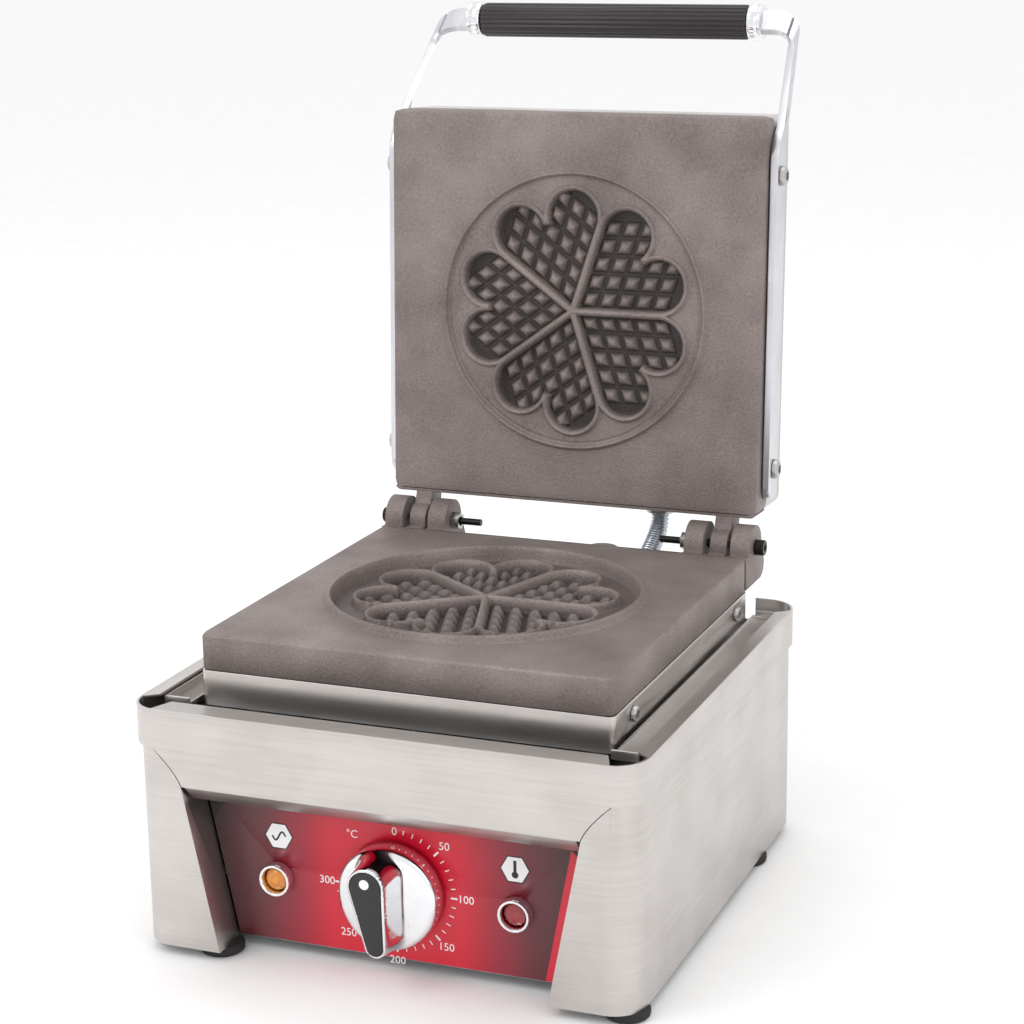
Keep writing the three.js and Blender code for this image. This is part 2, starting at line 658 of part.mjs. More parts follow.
// Where a point of the closed lid lies when the lid is open.
function opened(x, y, z) {
  const angle = THREE.MathUtils.degToRad(-LID_OPEN_ANGLE);
  const [cos, sin] = [Math.cos(angle), Math.sin(angle)];
  const [v, w] = [y - HINGE_Y, z - HINGE_Z];
  return [x, HINGE_Y + v * cos - w * sin, HINGE_Z + v * sin + w * cos];
}

function lidConduit() {
  const start = [CONDUIT_X, CONDUIT_BASE_Y, CONDUIT_BASE_Z + CONDUIT_GAP];
  const end = opened(CONDUIT_X, PLATE_REAR + LID_FITTING_REACH + CONDUIT_GAP, LID_FITTING_Z);
  const rise = end[2] - start[2];
  const points = [
    start,
    [CONDUIT_X, start[1], start[2] + rise * 0.16],
    [CONDUIT_X, (start[1] + end[1]) / 2, start[2] + rise * 0.5],
    [CONDUIT_X, end[1], end[2] - rise * 0.16],
    end,
  ];
  return tube(points, CONDUIT_RADIUS, 10, 12);
}

function baseConduitFitting() {
  const outline = [
    [0, DECK_BOTTOM - 8],
    [6.6, DECK_BOTTOM - 8],
    [6.6, DECK_BOTTOM + SHEET + FIT_GAP],
    [9, DECK_BOTTOM + SHEET + FIT_GAP],
    [9, CONDUIT_BASE_Z - 6],
    [8, CONDUIT_BASE_Z],
    [0, CONDUIT_BASE_Z],
  ];
  return turnedZ(outline, [CONDUIT_X, CONDUIT_BASE_Y], 20);
}

function lidConduitFitting() {
  const flangeRear = PLATE_REAR + LID_FITTING_REACH;
  const flange = rod('y', 9, PLATE_REAR + FIT_GAP, flangeRear, [CONDUIT_X, LID_FITTING_Z], 20);
  const neck = rod('y', 6, PLATE_REAR - 8, PLATE_REAR + 1, [CONDUIT_X, LID_FITTING_Z], 20);
  return flange.add(neck);
}

// ---------------------------------------------------------------- knob, lamps and thermostat
const KNOB_BACK = PANEL_FACE - 1.5;
const KNOB_FACE = KNOB_BACK - 14.5;
const GRIP_FACE = KNOB_FACE - 19.5;

// The grip bar's outline in XZ: a drop, round at the pointer end and narrow at the tail.
function dropOutline(top, tail, topRadius, tailRadius) {
  const shape = new THREE.Shape();
  shape.moveTo(-topRadius, DIAL_Z + top - topRadius);
  shape.lineTo(-tailRadius, DIAL_Z - tail + tailRadius);
  shape.absarc(0, DIAL_Z - tail + tailRadius, tailRadius, Math.PI, 2 * Math.PI, false);
  shape.lineTo(topRadius, DIAL_Z + top - topRadius);
  shape.absarc(0, DIAL_Z + top - topRadius, topRadius, 0, Math.PI, false);
  return shape;
}

function knob() {
  const r = KNOB_RADIUS;
  const skirt = turnedY(
    [
      [0, KNOB_FACE],
      [r - 3, KNOB_FACE],
      [r - 1, KNOB_FACE + 1],
      [r, KNOB_FACE + 3.5],
      [r, KNOB_BACK],
      [0, KNOB_BACK],
    ],
    [0, DIAL_Z],
    36,
  );
  const grip = alongY(dropOutline(26, 26, 11, 6.5), GRIP_FACE, KNOB_FACE + 1, 8);
  const seat = alongY(dropOutline(24.5, 24.5, 9.5, 5), GRIP_FACE - 1, GRIP_FACE + 1.5, 8);
  const bore = rod('y', 3.3, KNOB_BACK - 9, KNOB_BACK + 1, [0, DIAL_Z], 16);
  return skirt.add(grip).subtract(seat).subtract(bore);
}

function lampBezel(x) {
  const back = PANEL_FACE - FIT_GAP;
  return turnedY(
    [
      [7.5, back],
      [9.75, back],
      [9.75, back - 5.5],
      [9.2, back - 6.6],
      [8.1, back - 6.6],
      [7.5, back - 5.6],
      [7.5, back],
    ],
    [x, LAMP_Z],
    20,
  );
}

function lampLens(x) {
  const back = PANEL_FACE - FIT_GAP;
  return turnedY(
    [
      [0, back - 5.2],
      [4, back - 4.6],
      [6.4, back - 3],
      [7.1, back - 1.5],
      [7.1, PANEL_FACE + 14],
      [0, PANEL_FACE + 14],
    ],
    [x, LAMP_Z],
    20,
  );
}

const THERMOSTAT_FRONT = PANEL_FACE + 2.8;

function thermostatBulb() {
  const z = PLATE_BOTTOM - 4.6;
  const capillary = tube(
    [
      [0, -103, DIAL_Z + 20.4],
      [0, -102, 90],
      [0, -100, 115],
      [0, -100, 138],
      [0, -97, 152],
      [0, -84, z],
      [0, -60, z],
    ],
    1.4,
    18,
    6,
  );
  return capillary.add(rod('y', 3, -62, 20, [0, z], 12));
}

// ---------------------------------------------------------------- assembly
const waffleIron = new THREE.Group();

const base = new THREE.Group();
waffleIron.add(base);
place(base, 'cabinet_shell', cabinetShell(), brushedSteel);
place(base, 'fascia_strip', fasciaStrip(), brushedSteel);
place(base, 'control_panel', controlPanel(PANEL_FACE + 0.8, SHEET), panelSteel);
place(base, 'panel_overlay', controlPanel(PANEL_FACE, 0.5), printedRed);
place(base, 'bottom_plate', bottomPlate(), zincSteel);
place(base, 'top_rim', topRim(), brushedSteel);
place(base, 'deck_plate', deckPlate(), zincSteel);
place(base, 'drip_channel_left', dripChannel(-1), brushedSteel);
place(base, 'drip_channel_right', dripChannel(1), brushedSteel);

const feet = {
  front_left: [-107, -139],
  front_right: [139.4, -139],
  rear_left: [-107, 86],
  rear_right: [139.4, 86],
};
for (const [corner, [x, y]] of Object.entries(feet)) {
  place(base, `foot_${corner}`, foot(x, y), rubber);
}

const LOWER_SHELL_BOTTOM = 140;
const LOWER_SCREWS = { front: -86, rear: 107 };
const SCREW_Z = 153;
let lowerShell = sheetFrame(
  PLATE_SIDE,
  PLATE_SIDE,
  4,
  LOWER_SHELL_BOTTOM,
  PLATE_BOTTOM - FIT_GAP,
  PLATE_CENTRE_Y,
);
for (const y of Object.values(LOWER_SCREWS)) {
  lowerShell = lowerShell.subtract(rod('x', 2.4, -140, 140, [y, SCREW_Z], 8));
}
place(base, 'lower_shell', lowerShell, brushedSteel);
for (const [where, y] of Object.entries(LOWER_SCREWS)) {
  for (const [side, sign] of [['left', -1], ['right', 1]]) {
    const screw = sideBolt(sign, PLATE_SIDE / 2 + FIT_GAP, 4.6, 2.6, 2, PLATE_SIDE / 2 - 10, [y, SCREW_Z]);
    place(base, `shell_screw_${where}_${side}`, screw, zincSteel);
  }
}

place(base, 'lower_plate', lowerPlate(), castIron);
place(base, 'lower_heating_element', heatingElement(PLATE_BOTTOM + 4.4), elementSheath);
place(base, 'lower_clamp_plate', pad(176, 190, PLATE_BOTTOM - 10, PLATE_BOTTOM - 8.5), zincSteel);
place(base, 'lower_insulation', pad(190, 196, LOWER_SHELL_BOTTOM + 1, PLATE_BOTTOM - 10.5), mineralWool);
for (const [side, sx] of [['left', -1], ['right', 1]]) {
  for (const [end, sy] of [['front', -1], ['rear', 1]]) {
    const centre = [sx * (STANDOFF_REACH + 5), PLATE_CENTRE_Y + sy * STANDOFF_REACH];
    const post = rod('z', 6, DECK_BOTTOM + SHEET + FIT_GAP, PLATE_BOTTOM - FIT_GAP, centre, 6);
    place(base, `plate_standoff_${end}_${side}`, post, zincSteel);
  }
}

for (const [side, sign] of [['left', -1], ['right', 1]]) {
  const bolt = sideBolt(sign, EAR_OUTER[1] + FIT_GAP, 5, 6, BOLT_RADIUS, 62, [HINGE_Y, HINGE_Z]);
  place(base, `hinge_bolt_${side}`, bolt, zincSteel);
  const nutSpan = [EAR_INNER[0] - 5.5, EAR_INNER[0] - FIT_GAP];
  const [x0, x1] = sign > 0 ? nutSpan : mirrored(nutSpan);
  const nut = rod('x', 5.7, x0, x1, [HINGE_Y, HINGE_Z], 6)
    .subtract(rod('x', BOLT_RADIUS + FIT_GAP, x0 - 1, x1 + 1, [HINGE_Y, HINGE_Z]));
  place(base, `hinge_nut_${side}`, nut, zincSteel);
}

place(
  base,
  'thermostat_body',
  block([-24, 24], [THERMOSTAT_FRONT, THERMOSTAT_FRONT + 34], [DIAL_Z - 22, DIAL_Z + 20]),
  ceramic,
);
place(base, 'thermostat_bulb', thermostatBulb(), zincSteel);
place(
  base,
  'terminal_block',
  block([-90, -30], [104, 130], [FOOT_HEIGHT + 2.4, FOOT_HEIGHT + 26]),
  ceramic,
);
const gland = rod('y', 11, CABINET_DEPTH / 2 + FIT_GAP, CABINET_DEPTH / 2 + 13, [-60, 36])
  .add(rod('y', 7.8, CABINET_DEPTH / 2 - 12, CABINET_DEPTH / 2 + 1, [-60, 36]))
  .subtract(rod('y', 4.5, CABINET_DEPTH / 2 - 20, CABINET_DEPTH / 2 + 20, [-60, 36], 16));
place(base, 'mains_gland', gland, blackPlastic);
place(base, 'power_lamp_bezel', lampBezel(-LAMP_X), chrome);
place(base, 'power_lamp_lens', lampLens(-LAMP_X), amberLens);
place(base, 'heat_lamp_bezel', lampBezel(LAMP_X), chrome);
place(base, 'heat_lamp_lens', lampLens(LAMP_X), redLens);
place(base, 'base_conduit_fitting', baseConduitFitting(), zincSteel);
place(base, 'lid_conduit', lidConduit(), conduitSteel);

// The knob and its spindle turn about the dial's axis.
const knobAxis = new THREE.Group();
knobAxis.position.set(0, 0, DIAL_Z);
knobAxis.rotation.y = THREE.MathUtils.degToRad(-KNOB_OFF_TILT);
const knobPieces = new THREE.Group();
knobPieces.position.set(0, 0, -DIAL_Z);
knobAxis.add(knobPieces);
waffleIron.add(knobAxis);
place(knobPieces, 'knob', knob(), chrome);
place(
  knobPieces,
  'knob_insert',
  alongY(dropOutline(24.2, 24.2, 9.2, 4.7), GRIP_FACE - 0.3, GRIP_FACE + 1.2, 8),
  blackPlastic,
);
place(
  knobPieces,
  'thermostat_spindle',
  rod('y', 3, KNOB_BACK - 8.6, THERMOSTAT_FRONT - FIT_GAP, [0, DIAL_Z], 16),
  zincSteel,
);

// The lid turns about the hinge bolts.
const lidAxis = new THREE.Group();
lidAxis.position.set(0, HINGE_Y, HINGE_Z);
lidAxis.rotation.x = THREE.MathUtils.degToRad(-LID_OPEN_ANGLE);
const lid = new THREE.Group();
lid.position.set(0, -HINGE_Y, -HINGE_Z);
lidAxis.add(lid);
waffleIron.add(lidAxis);
place(lid, 'upper_plate', upperPlate(), castIron);
place(lid, 'upper_shell', upperShell(), brushedSteel);
place(lid, 'upper_heating_element', heatingElement(LID_PLATE_TOP - 4.4), elementSheath);
place(lid, 'upper_clamp_plate', pad(176, 190, SHELL_BOTTOM + 0.5, SHELL_BOTTOM + 2), zincSteel);
place(lid, 'upper_insulation', pad(216, 216, SHELL_BOTTOM + 2.4, SHELL_BOTTOM + 26), mineralWool);
place(lid, 'lid_conduit_fitting', lidConduitFitting(), zincSteel);
place(lid, 'handle_bail', handleBail(), zincSteel);
place(lid, 'handle_grip', ringAlongX(11, 5.3, -GRIP_HALF, GRIP_HALF, [GRIP_Y, GRIP_Z]), blackPlastic);
for (const [side, sign] of [['left', -1], ['right', 1]]) {
  const capSpan = [GRIP_HALF + FIT_GAP, GRIP_HALF + CAP_LENGTH - FIT_GAP];
  const [x0, x1] = sign > 0 ? capSpan : mirrored(capSpan);
  place(lid, `grip_cap_${side}`, ringAlongX(12, 5.3, x0, x1, [GRIP_Y, GRIP_Z]), chrome);
  HANDLE_BOLT_Y.forEach((y, i) => {
    const seat = BAR_INNER + BAR_THICKNESS + FIT_GAP;
    const bolt = sideBolt(sign, seat, 6.2, 3.4, 2.5, PLATE_SIDE / 2 - 14, [y, BAR_Z]);
    place(lid, `handle_bolt_${i === 0 ? 'rear' : 'front'}_${side}`, bolt, zincSteel);
  });
}

// The row's origin is on the ground, in the middle of the open appliance.
waffleIron.position.y = -DEPTH_SHIFT;

export default waffleIron;
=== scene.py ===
"""Five-heart cast-iron waffle iron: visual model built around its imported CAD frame."""

import json
import math

import bmesh
import bpy
import numpy as np
from mathutils import Matrix, Vector


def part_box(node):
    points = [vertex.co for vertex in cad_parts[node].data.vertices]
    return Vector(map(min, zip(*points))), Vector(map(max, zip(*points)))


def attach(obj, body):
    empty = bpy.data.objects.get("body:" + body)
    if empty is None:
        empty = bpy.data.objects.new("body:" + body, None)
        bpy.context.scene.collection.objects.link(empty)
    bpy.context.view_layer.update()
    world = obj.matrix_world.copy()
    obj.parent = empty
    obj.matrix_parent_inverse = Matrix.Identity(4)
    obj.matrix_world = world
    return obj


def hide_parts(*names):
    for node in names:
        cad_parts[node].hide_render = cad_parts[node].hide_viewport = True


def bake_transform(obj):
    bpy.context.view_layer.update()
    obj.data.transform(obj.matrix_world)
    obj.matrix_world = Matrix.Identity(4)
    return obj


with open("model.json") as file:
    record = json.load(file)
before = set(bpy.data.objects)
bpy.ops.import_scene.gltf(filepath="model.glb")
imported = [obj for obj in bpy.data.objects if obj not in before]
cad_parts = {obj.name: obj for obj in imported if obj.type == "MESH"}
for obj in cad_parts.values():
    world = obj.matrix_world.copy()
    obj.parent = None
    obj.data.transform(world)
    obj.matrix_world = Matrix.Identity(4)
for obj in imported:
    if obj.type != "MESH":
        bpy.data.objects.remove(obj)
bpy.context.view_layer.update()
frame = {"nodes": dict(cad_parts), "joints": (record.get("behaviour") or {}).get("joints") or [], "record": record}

MM = 0.001
joints = {joint["name"]: joint for joint in frame["joints"]}

# ---------------------------------------------------------------- places taken from the frame
RIM_LOW, RIM_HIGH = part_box("top_rim")
RIM_CENTRE_Y = (RIM_LOW.y + RIM_HIGH.y) / 2
HINGE = Vector(joints["lid_hinge"]["pos_m"])
OPEN_ANGLE = math.radians(joints["lid_hinge"]["range_deg"][1])
OPENED = Matrix.Translation(HINGE) @ Matrix.Rotation(-OPEN_ANGLE, 4, "X") @ Matrix.Translation(-HINGE)
KNOB_AXIS = Vector(joints["knob_turn"]["pos_m"])
KNOB_TILT = math.radians(8)


def closed_box(node):
    """A lid node's lowest and highest corners with the lid down."""
    back = OPENED.inverted()
    points = np.array([back @ vertex.co for vertex in frame["nodes"][node].data.vertices])
    return Vector(points.min(0)), Vector(points.max(0))


# ---------------------------------------------------------------- camera, lights and floor
CAMERA_LENS = 85.7
CAMERA_SHIFT = (-0.024, -0.004)
CAMERA_PLACE = (0.5374, RIM_CENTRE_Y - 1.27725, 0.60006)
CAMERA_ANGLES = (21.43, 14.70, -0.77)  # azimuth, elevation and roll in degrees


def make_camera():
    """Three-quarter view from the front right, a little above the lid's hinge line."""
    data = bpy.data.cameras.new("camera")
    data.sensor_width = 36
    data.lens = CAMERA_LENS
    data.shift_x, data.shift_y = CAMERA_SHIFT
    data.clip_end = 20
    camera = bpy.data.objects.new("camera", data)
    camera.location = CAMERA_PLACE
    azimuth, elevation, roll = (math.radians(angle) for angle in CAMERA_ANGLES)
    back = Vector(
        (
            math.sin(azimuth) * math.cos(elevation),
            -math.cos(azimuth) * math.cos(elevation),
            math.sin(elevation),
        )
    )
    right = (-back).cross(Vector((0, 0, 1))).normalized()
    up = right.cross(-back)
    right_rolled = right * math.cos(roll) + up * math.sin(roll)
    up_rolled = up * math.cos(roll) - right * math.sin(roll)
    camera.rotation_euler = Matrix((right_rolled, up_rolled, back)).transposed().to_euler()
    bpy.context.scene.collection.objects.link(camera)
    bpy.context.scene.camera = camera


def make_light(name, place, target, size, power):
    data = bpy.data.lights.new(name, "AREA")
    data.shape = "RECTANGLE"
    data.size, data.size_y = size
    data.energy = power
    light = bpy.data.objects.new(name, data)
    light.location = place
    light.rotation_euler = (Vector(target) - Vector(place)).to_track_quat("-Z", "Y").to_euler()
    bpy.context.scene.collection.objects.link(light)


# ---------------------------------------------------------------- materials
def linear(code):
    """An sRGB hex colour as the linear colour that a socket takes."""
    channels = [int(code[i : i + 2], 16) / 255 for i in (0, 2, 4)]
    return [c / 12.92 if c <= 0.04045 else ((c + 0.055) / 1.055) ** 2.4 for c in channels] + [1.0]


def add(tree, kind, sockets=None, **settings):
    """Adds a node. sockets gives its inputs, each a value or another node's output."""
    node = tree.nodes.new(kind)
    for name, value in settings.items():
        setattr(node, name, value)
    for key, value in (sockets or {}).items():
        if isinstance(value, bpy.types.NodeSocket):
            tree.links.new(value, node.inputs[key])
        else:
            node.inputs[key].default_value = value
    return node


def new_material(name):
    """An empty material, with Object coordinates in millimetres."""
    material = bpy.data.materials.new(name)
    material.use_nodes = True
    tree = material.node_tree
    tree.nodes.clear()
    place = add(tree, "ShaderNodeTexCoord")
    scaled = add(
        tree,
        "ShaderNodeVectorMath",
        {0: place.outputs["Object"], "Scale": 1 / MM},
        operation="SCALE",
    )
    return material, tree, scaled.outputs["Vector"]


MOTTLE = 45.0  # width of the broad mottle in every finish, in millimetres


def surface(
    name, colour, tint, metallic, roughness, spread, grain,
    stretch=(1, 1, 1), bump=0.2, depth=0.05, fixed=None, soot_and_shade=False,
):
    """A finish whose colour, roughness and relief follow one grain of the given size in millimetres.

    A broad mottle some 45 mm wide joins the grain. With the darkening flag set, the mesh's darkening attribute
    darkens the colour: seasoning soot plus painted shade in the cavities.
    """
    material, tree, place = new_material(name)
    mapped = add(tree, "ShaderNodeMapping", {"Vector": place, "Scale": stretch})
    noise = add(
        tree,
        "ShaderNodeTexNoise",
        {"Vector": mapped.outputs[0], "Scale": 1 / grain, "Detail": 6.0, "Roughness": 0.6},
    )
    broad = add(tree, "ShaderNodeTexNoise", {"Vector": place, "Scale": 1 / MOTTLE, "Detail": 3.0})
    both = add(tree, "ShaderNodeMath", {0: noise.outputs[0], 1: broad.outputs[0]}, operation="ADD")
    share = add(tree, "ShaderNodeMapRange", {"Value": both.outputs[0], "From Min": 0.7, "From Max": 1.3})
    mix = add(
        tree,
        "ShaderNodeMix",
        {0: share.outputs[0], 6: linear(colour), 7: linear(tint)},
        data_type="RGBA",
    )
    colour_out = mix.outputs[2]
    # Painted shade together with soot: the colour darkens towards the cavity floors.
    if soot_and_shade:
        depth_share = add(tree, "ShaderNodeAttribute", attribute_name="soot_and_shade")
        darker = add(
            tree,
            "ShaderNodeMix",
            {0: depth_share.outputs["Fac"], 6: colour_out, 7: linear("231F1E")},
            data_type="RGBA",
        )
        colour_out = darker.outputs[2]
    rough = add(
        tree,
        "ShaderNodeMapRange",
        {
            "Value": both.outputs[0],
            "From Min": 0.6,
            "From Max": 1.4,
            "To Min": roughness - spread,
            "To Max": roughness + spread,
        },
    )
    relief = add(
        tree,
        "ShaderNodeBump",
        {"Height": noise.outputs[0], "Strength": bump, "Distance": depth * MM},
    )
    shader = add(
        tree,
        "ShaderNodeBsdfPrincipled",
        {
            "Base Color": colour_out,
            "Roughness": rough.outputs[0],
            "Normal": relief.outputs[0],
            "Metallic": metallic,
            **(fixed or {}),
        },
    )
    add(tree, "ShaderNodeOutputMaterial", {"Surface": shader.outputs[0]})
    return material


# Brushed sheet: long fine lines round the cabinet that blur its reflections sideways.
stainless = surface(
    "brushed_stainless_steel", "D2CDCA", "C3BEBA", 1.0, 0.34, 0.07, 1.1, (0.02, 0.02, 1), 0.12, 0.05
)
# Zinc-coated sheet: grey spangle about 9 mm across.
galvanised = surface("galvanised_steel", "B4B5B6", "8F9194", 1.0, 0.45, 0.12, 9.0, (1, 1, 1), 0.1, 0.05)
# Sand-cast iron, seasoned: dull grey-brown, pitted at about a millimetre, darkened in its cavities by soot and by
# painted shade.
cast_iron = surface(
    "seasoned_cast_iron", "948884", "6E6461", 0.35, 0.52, 0.1, 1.3, (1, 1, 1), 0.9, 0.5, None, True
)
# Moulded rubber: dull black with a fine matt grain.
rubber = surface("black_rubber", "1D1C1C", "2A2828", 0.0, 0.78, 0.08, 0.8, (1, 1, 1), 0.3, 0.1)
# Chrome plate: mirror-bright, with the faintest waviness.
chrome = surface("bright_chrome_plate", "F1F1F3", "E6E7EA", 1.0, 0.09, 0.03, 6.0, (1, 1, 1), 0.03, 0.02)
# Zinc plate: pale grey with a soft sheen.
zinc = surface("zinc_plated_steel", "C4C3C1", "A7A6A3", 1.0, 0.32, 0.08, 1.5, (1, 1, 1), 0.15, 0.05)
# Blackened steel: dark, half-glossy and slightly brown.
black_oxide = surface("black_oxide_steel", "2B2626", "171414", 0.7, 0.36, 0.08, 1.2, (1, 1, 1), 0.2, 0.05)
# Drawn bar: fine lines along its length in bright satin steel.
satin_bar = surface("satin_bar_steel", "DDDDE2", "C9C8CC", 1.0, 0.3, 0.06, 1.3, (1, 0.05, 0.05), 0.1, 0.04)
# Bakelite: near-black, polished, with a long faint flow grain.
bakelite = surface("black_bakelite", "1E181A", "2B2427", 0.0, 0.3, 0.05, 2.0, (0.1, 1, 1), 0.08, 0.04)
# Nylon: black with an even satin skin.
nylon = surface("black_nylon", "222122", "2C2B2C", 0.0, 0.5, 0.06, 0.7, (1, 1, 1), 0.2, 0.05)
# Wound conduit: cool bluish steel, uneven from handling.
conduit_steel = surface("conduit_steel", "C3C9D1", "A2A9B3", 1.0, 0.28, 0.07, 2.0, (1, 1, 1), 0.1, 0.05)
# Element sheath: heat-browned steel.
sheath = surface("element_sheath", "5F5A57", "48423F", 0.8, 0.55, 0.1, 1.5)
# Mineral wool: yellow, matt and coarse.
wool = surface("mineral_wool", "D9CEA8", "BFB187", 0.0, 0.95, 0.04, 1.0, (1, 1, 1), 0.8, 0.6)
# Glazed porcelain: cream, glossy and smooth.
porcelain = surface("glazed_porcelain", "EDE8DE", "E2DBCD", 0.0, 0.18, 0.04, 6.0, (1, 1, 1), 0.05, 0.03)
# Screen inks: flat, slightly matt against the film.
white_ink = surface("white_screen_ink", "F4F3F3", "E9E7E7", 0.0, 0.45, 0.05, 0.8, (1, 1, 1), 0.1, 0.02)
black_ink = surface("black_screen_ink", "1B1314", "251B1D", 0.0, 0.42, 0.05, 0.8, (1, 1, 1), 0.1, 0.02)


def lens(name, colour, deep):
    """Clear tinted polycarbonate: glossy, a little light scattered inside."""
    return surface(
        name, colour, deep, 0.0, 0.1, 0.03, 3.0, (1, 1, 1), 0.15, 0.1,
        {"IOR": 1.585, "Coat Weight": 0.6, "Coat Roughness": 0.05},
    )


amber = lens("amber_polycarbonate", "E8931A", "B35A08")
red_lens = lens("red_polycarbonate", "B30F22", "6E0712")


FILM_HALF_WIDTH = 115.0


def printed_film():
    """Glossy printed film: bright red in the middle, dark maroon at the sides, a red stripe at the right."""
    material, tree, place = new_material("printed_red_film")
    axes = add(tree, "ShaderNodeSeparateXYZ", {"Vector": place})
    across = axes.outputs["X"]
    distance = add(tree, "ShaderNodeMath", {0: across}, operation="ABSOLUTE")
    fade = tree.nodes.new("ShaderNodeValToRGB")
    span = add(
        tree,
        "ShaderNodeMapRange",
        {"Value": distance.outputs[0], "From Min": 0.0, "From Max": FILM_HALF_WIDTH},
    )
    tree.links.new(span.outputs[0], fade.inputs[0])
    stops = [
        (0.0, "D8102F"),
        (0.34, "CE0F2D"),
        (0.5, "9C162C"),
        (0.7, "65202A"),
        (0.92, "3D171D"),
        (1.0, "2A1216"),
    ]
    ramp = fade.color_ramp
    while len(ramp.elements) < len(stops):
        ramp.elements.new(0.5)
    for element, (where, code) in zip(ramp.elements, stops):
        element.position = where
        element.color = linear(code)
    # The stripe follows the slanted right edge, 20 mm wide at the foot of a 98 mm rise.
    lean = add(
        tree,
        "ShaderNodeMath",
        {0: axes.outputs["Z"], 1: -0.2, 2: across},
        operation="MULTIPLY_ADD",
    )
    after = add(tree, "ShaderNodeMath", {0: lean.outputs[0], 1: 87.5}, operation="GREATER_THAN")
    before = add(tree, "ShaderNodeMath", {0: lean.outputs[0], 1: 96.0}, operation="LESS_THAN")
    stripe = add(tree, "ShaderNodeMath", {0: after.outputs[0], 1: before.outputs[0]}, operation="MULTIPLY")
    mix = add(
        tree,
        "ShaderNodeMix",
        {0: stripe.outputs[0], 6: fade.outputs[0], 7: linear("D81535")},
        data_type="RGBA",
    )
    noise = add(tree, "ShaderNodeTexNoise", {"Vector": place, "Scale": 1.2, "Detail": 3.0})
    relief = add(
        tree,
        "ShaderNodeBump",
        {"Height": noise.outputs[0], "Strength": 0.06, "Distance": 0.02 * MM},
    )
    shader = add(
        tree,
        "ShaderNodeBsdfPrincipled",
        {
            "Base Color": mix.outputs[2],
            "Roughness": 0.33,
            "Normal": relief.outputs[0],
            "Coat Weight": 0.3,
            "Coat Roughness": 0.2,
        },
    )
    add(tree, "ShaderNodeOutputMaterial", {"Surface": shader.outputs[0]})
    return material


film = printed_film()


def floor_material():
    """Matt white paper sweep."""
    return surface("white_paper", "FAFAFA", "F6F6F6", 0.0, 0.8, 0.05, 2.0, (1, 1, 1), 0.05, 0.05)


# ---------------------------------------------------------------- mesh helpers
def finished(name, mesh, material, body, nodes=(), angle=35):
    """Makes a piece of a mesh that is already in place, and attaches it to its body."""
    mesh.materials.clear()
    mesh.materials.append(material)
    mesh.shade_smooth()
    mesh.set_sharp_from_angle(angle=math.radians(angle))
    piece = bpy.data.objects.new(name, mesh)
    bpy.context.scene.collection.objects.link(piece)
    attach(piece, body)
    if nodes:
        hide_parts(*nodes)
    return piece


def to_mesh(bm, name, matrix=None):
    if matrix is not None:
        bm.transform(matrix)
    bmesh.ops.recalc_face_normals(bm, faces=bm.faces)
    mesh = bpy.data.meshes.new(name)
    bm.to_mesh(mesh)
    bm.free()
    return mesh


def merged_copy(node):
    """A CAD node's mesh with its corners merged and its flat faces whole."""
    bm = bmesh.new()
    bm.from_mesh(frame["nodes"][node].data)
    bmesh.ops.remove_doubles(bm, verts=bm.verts, dist=0.004 * MM)
    bmesh.ops.dissolve_limit(bm, angle_limit=math.radians(0.8), verts=bm.verts, edges=bm.edges)
    return bm


def round_edges(bm, width, segments=2, limit=32):
    """Rounds every edge sharper than the limit."""
    sharp = [
        edge
        for edge in bm.edges
        if len(edge.link_faces) == 2 and edge.calc_face_angle(0) > math.radians(limit)
    ]
    bmesh.ops.bevel(
        bm, geom=sharp, offset=width * MM, offset_type="OFFSET", segments=segments, profile=0.5,
        affect="EDGES", clamp_overlap=True,
    )


def refined(node, width, material, body, segments=2):
    """A CAD node with its edges rounded."""
    bm = merged_copy(node)
    round_edges(bm, width, segments)
    return finished(f"{node}_piece", to_mesh(bm, node), material, body, [node])


def rings_mesh(name, rings, closed=True, matrix=None, caps=True):
    """A skin over rings of points that all have the same number of points."""
    bm = bmesh.new()
    rows = [[bm.verts.new(point) for point in ring] for ring in rings]
    count = len(rings[0])
    for one, two in zip(rows, rows[1:]):
        for i in range(count if closed else count - 1):
            j = (i + 1) % count
            bm.faces.new((one[i], one[j], two[j], two[i]))
    if caps:
        bm.faces.new(rows[0])
        bm.faces.new(rows[-1])
    return to_mesh(bm, name, matrix)


def turned(name, profile, sides, matrix):
    """A turned piece: profile is [radius, height] in millimetres from end to end."""
    rings = []
    for radius, height in profile:
        rings.append(
            [
                Vector((radius * math.cos(a), radius * math.sin(a), height)) * MM
                for a in (2 * math.pi * i / sides for i in range(sides))
            ]
        )
    return rings_mesh(name, rings, matrix=matrix)


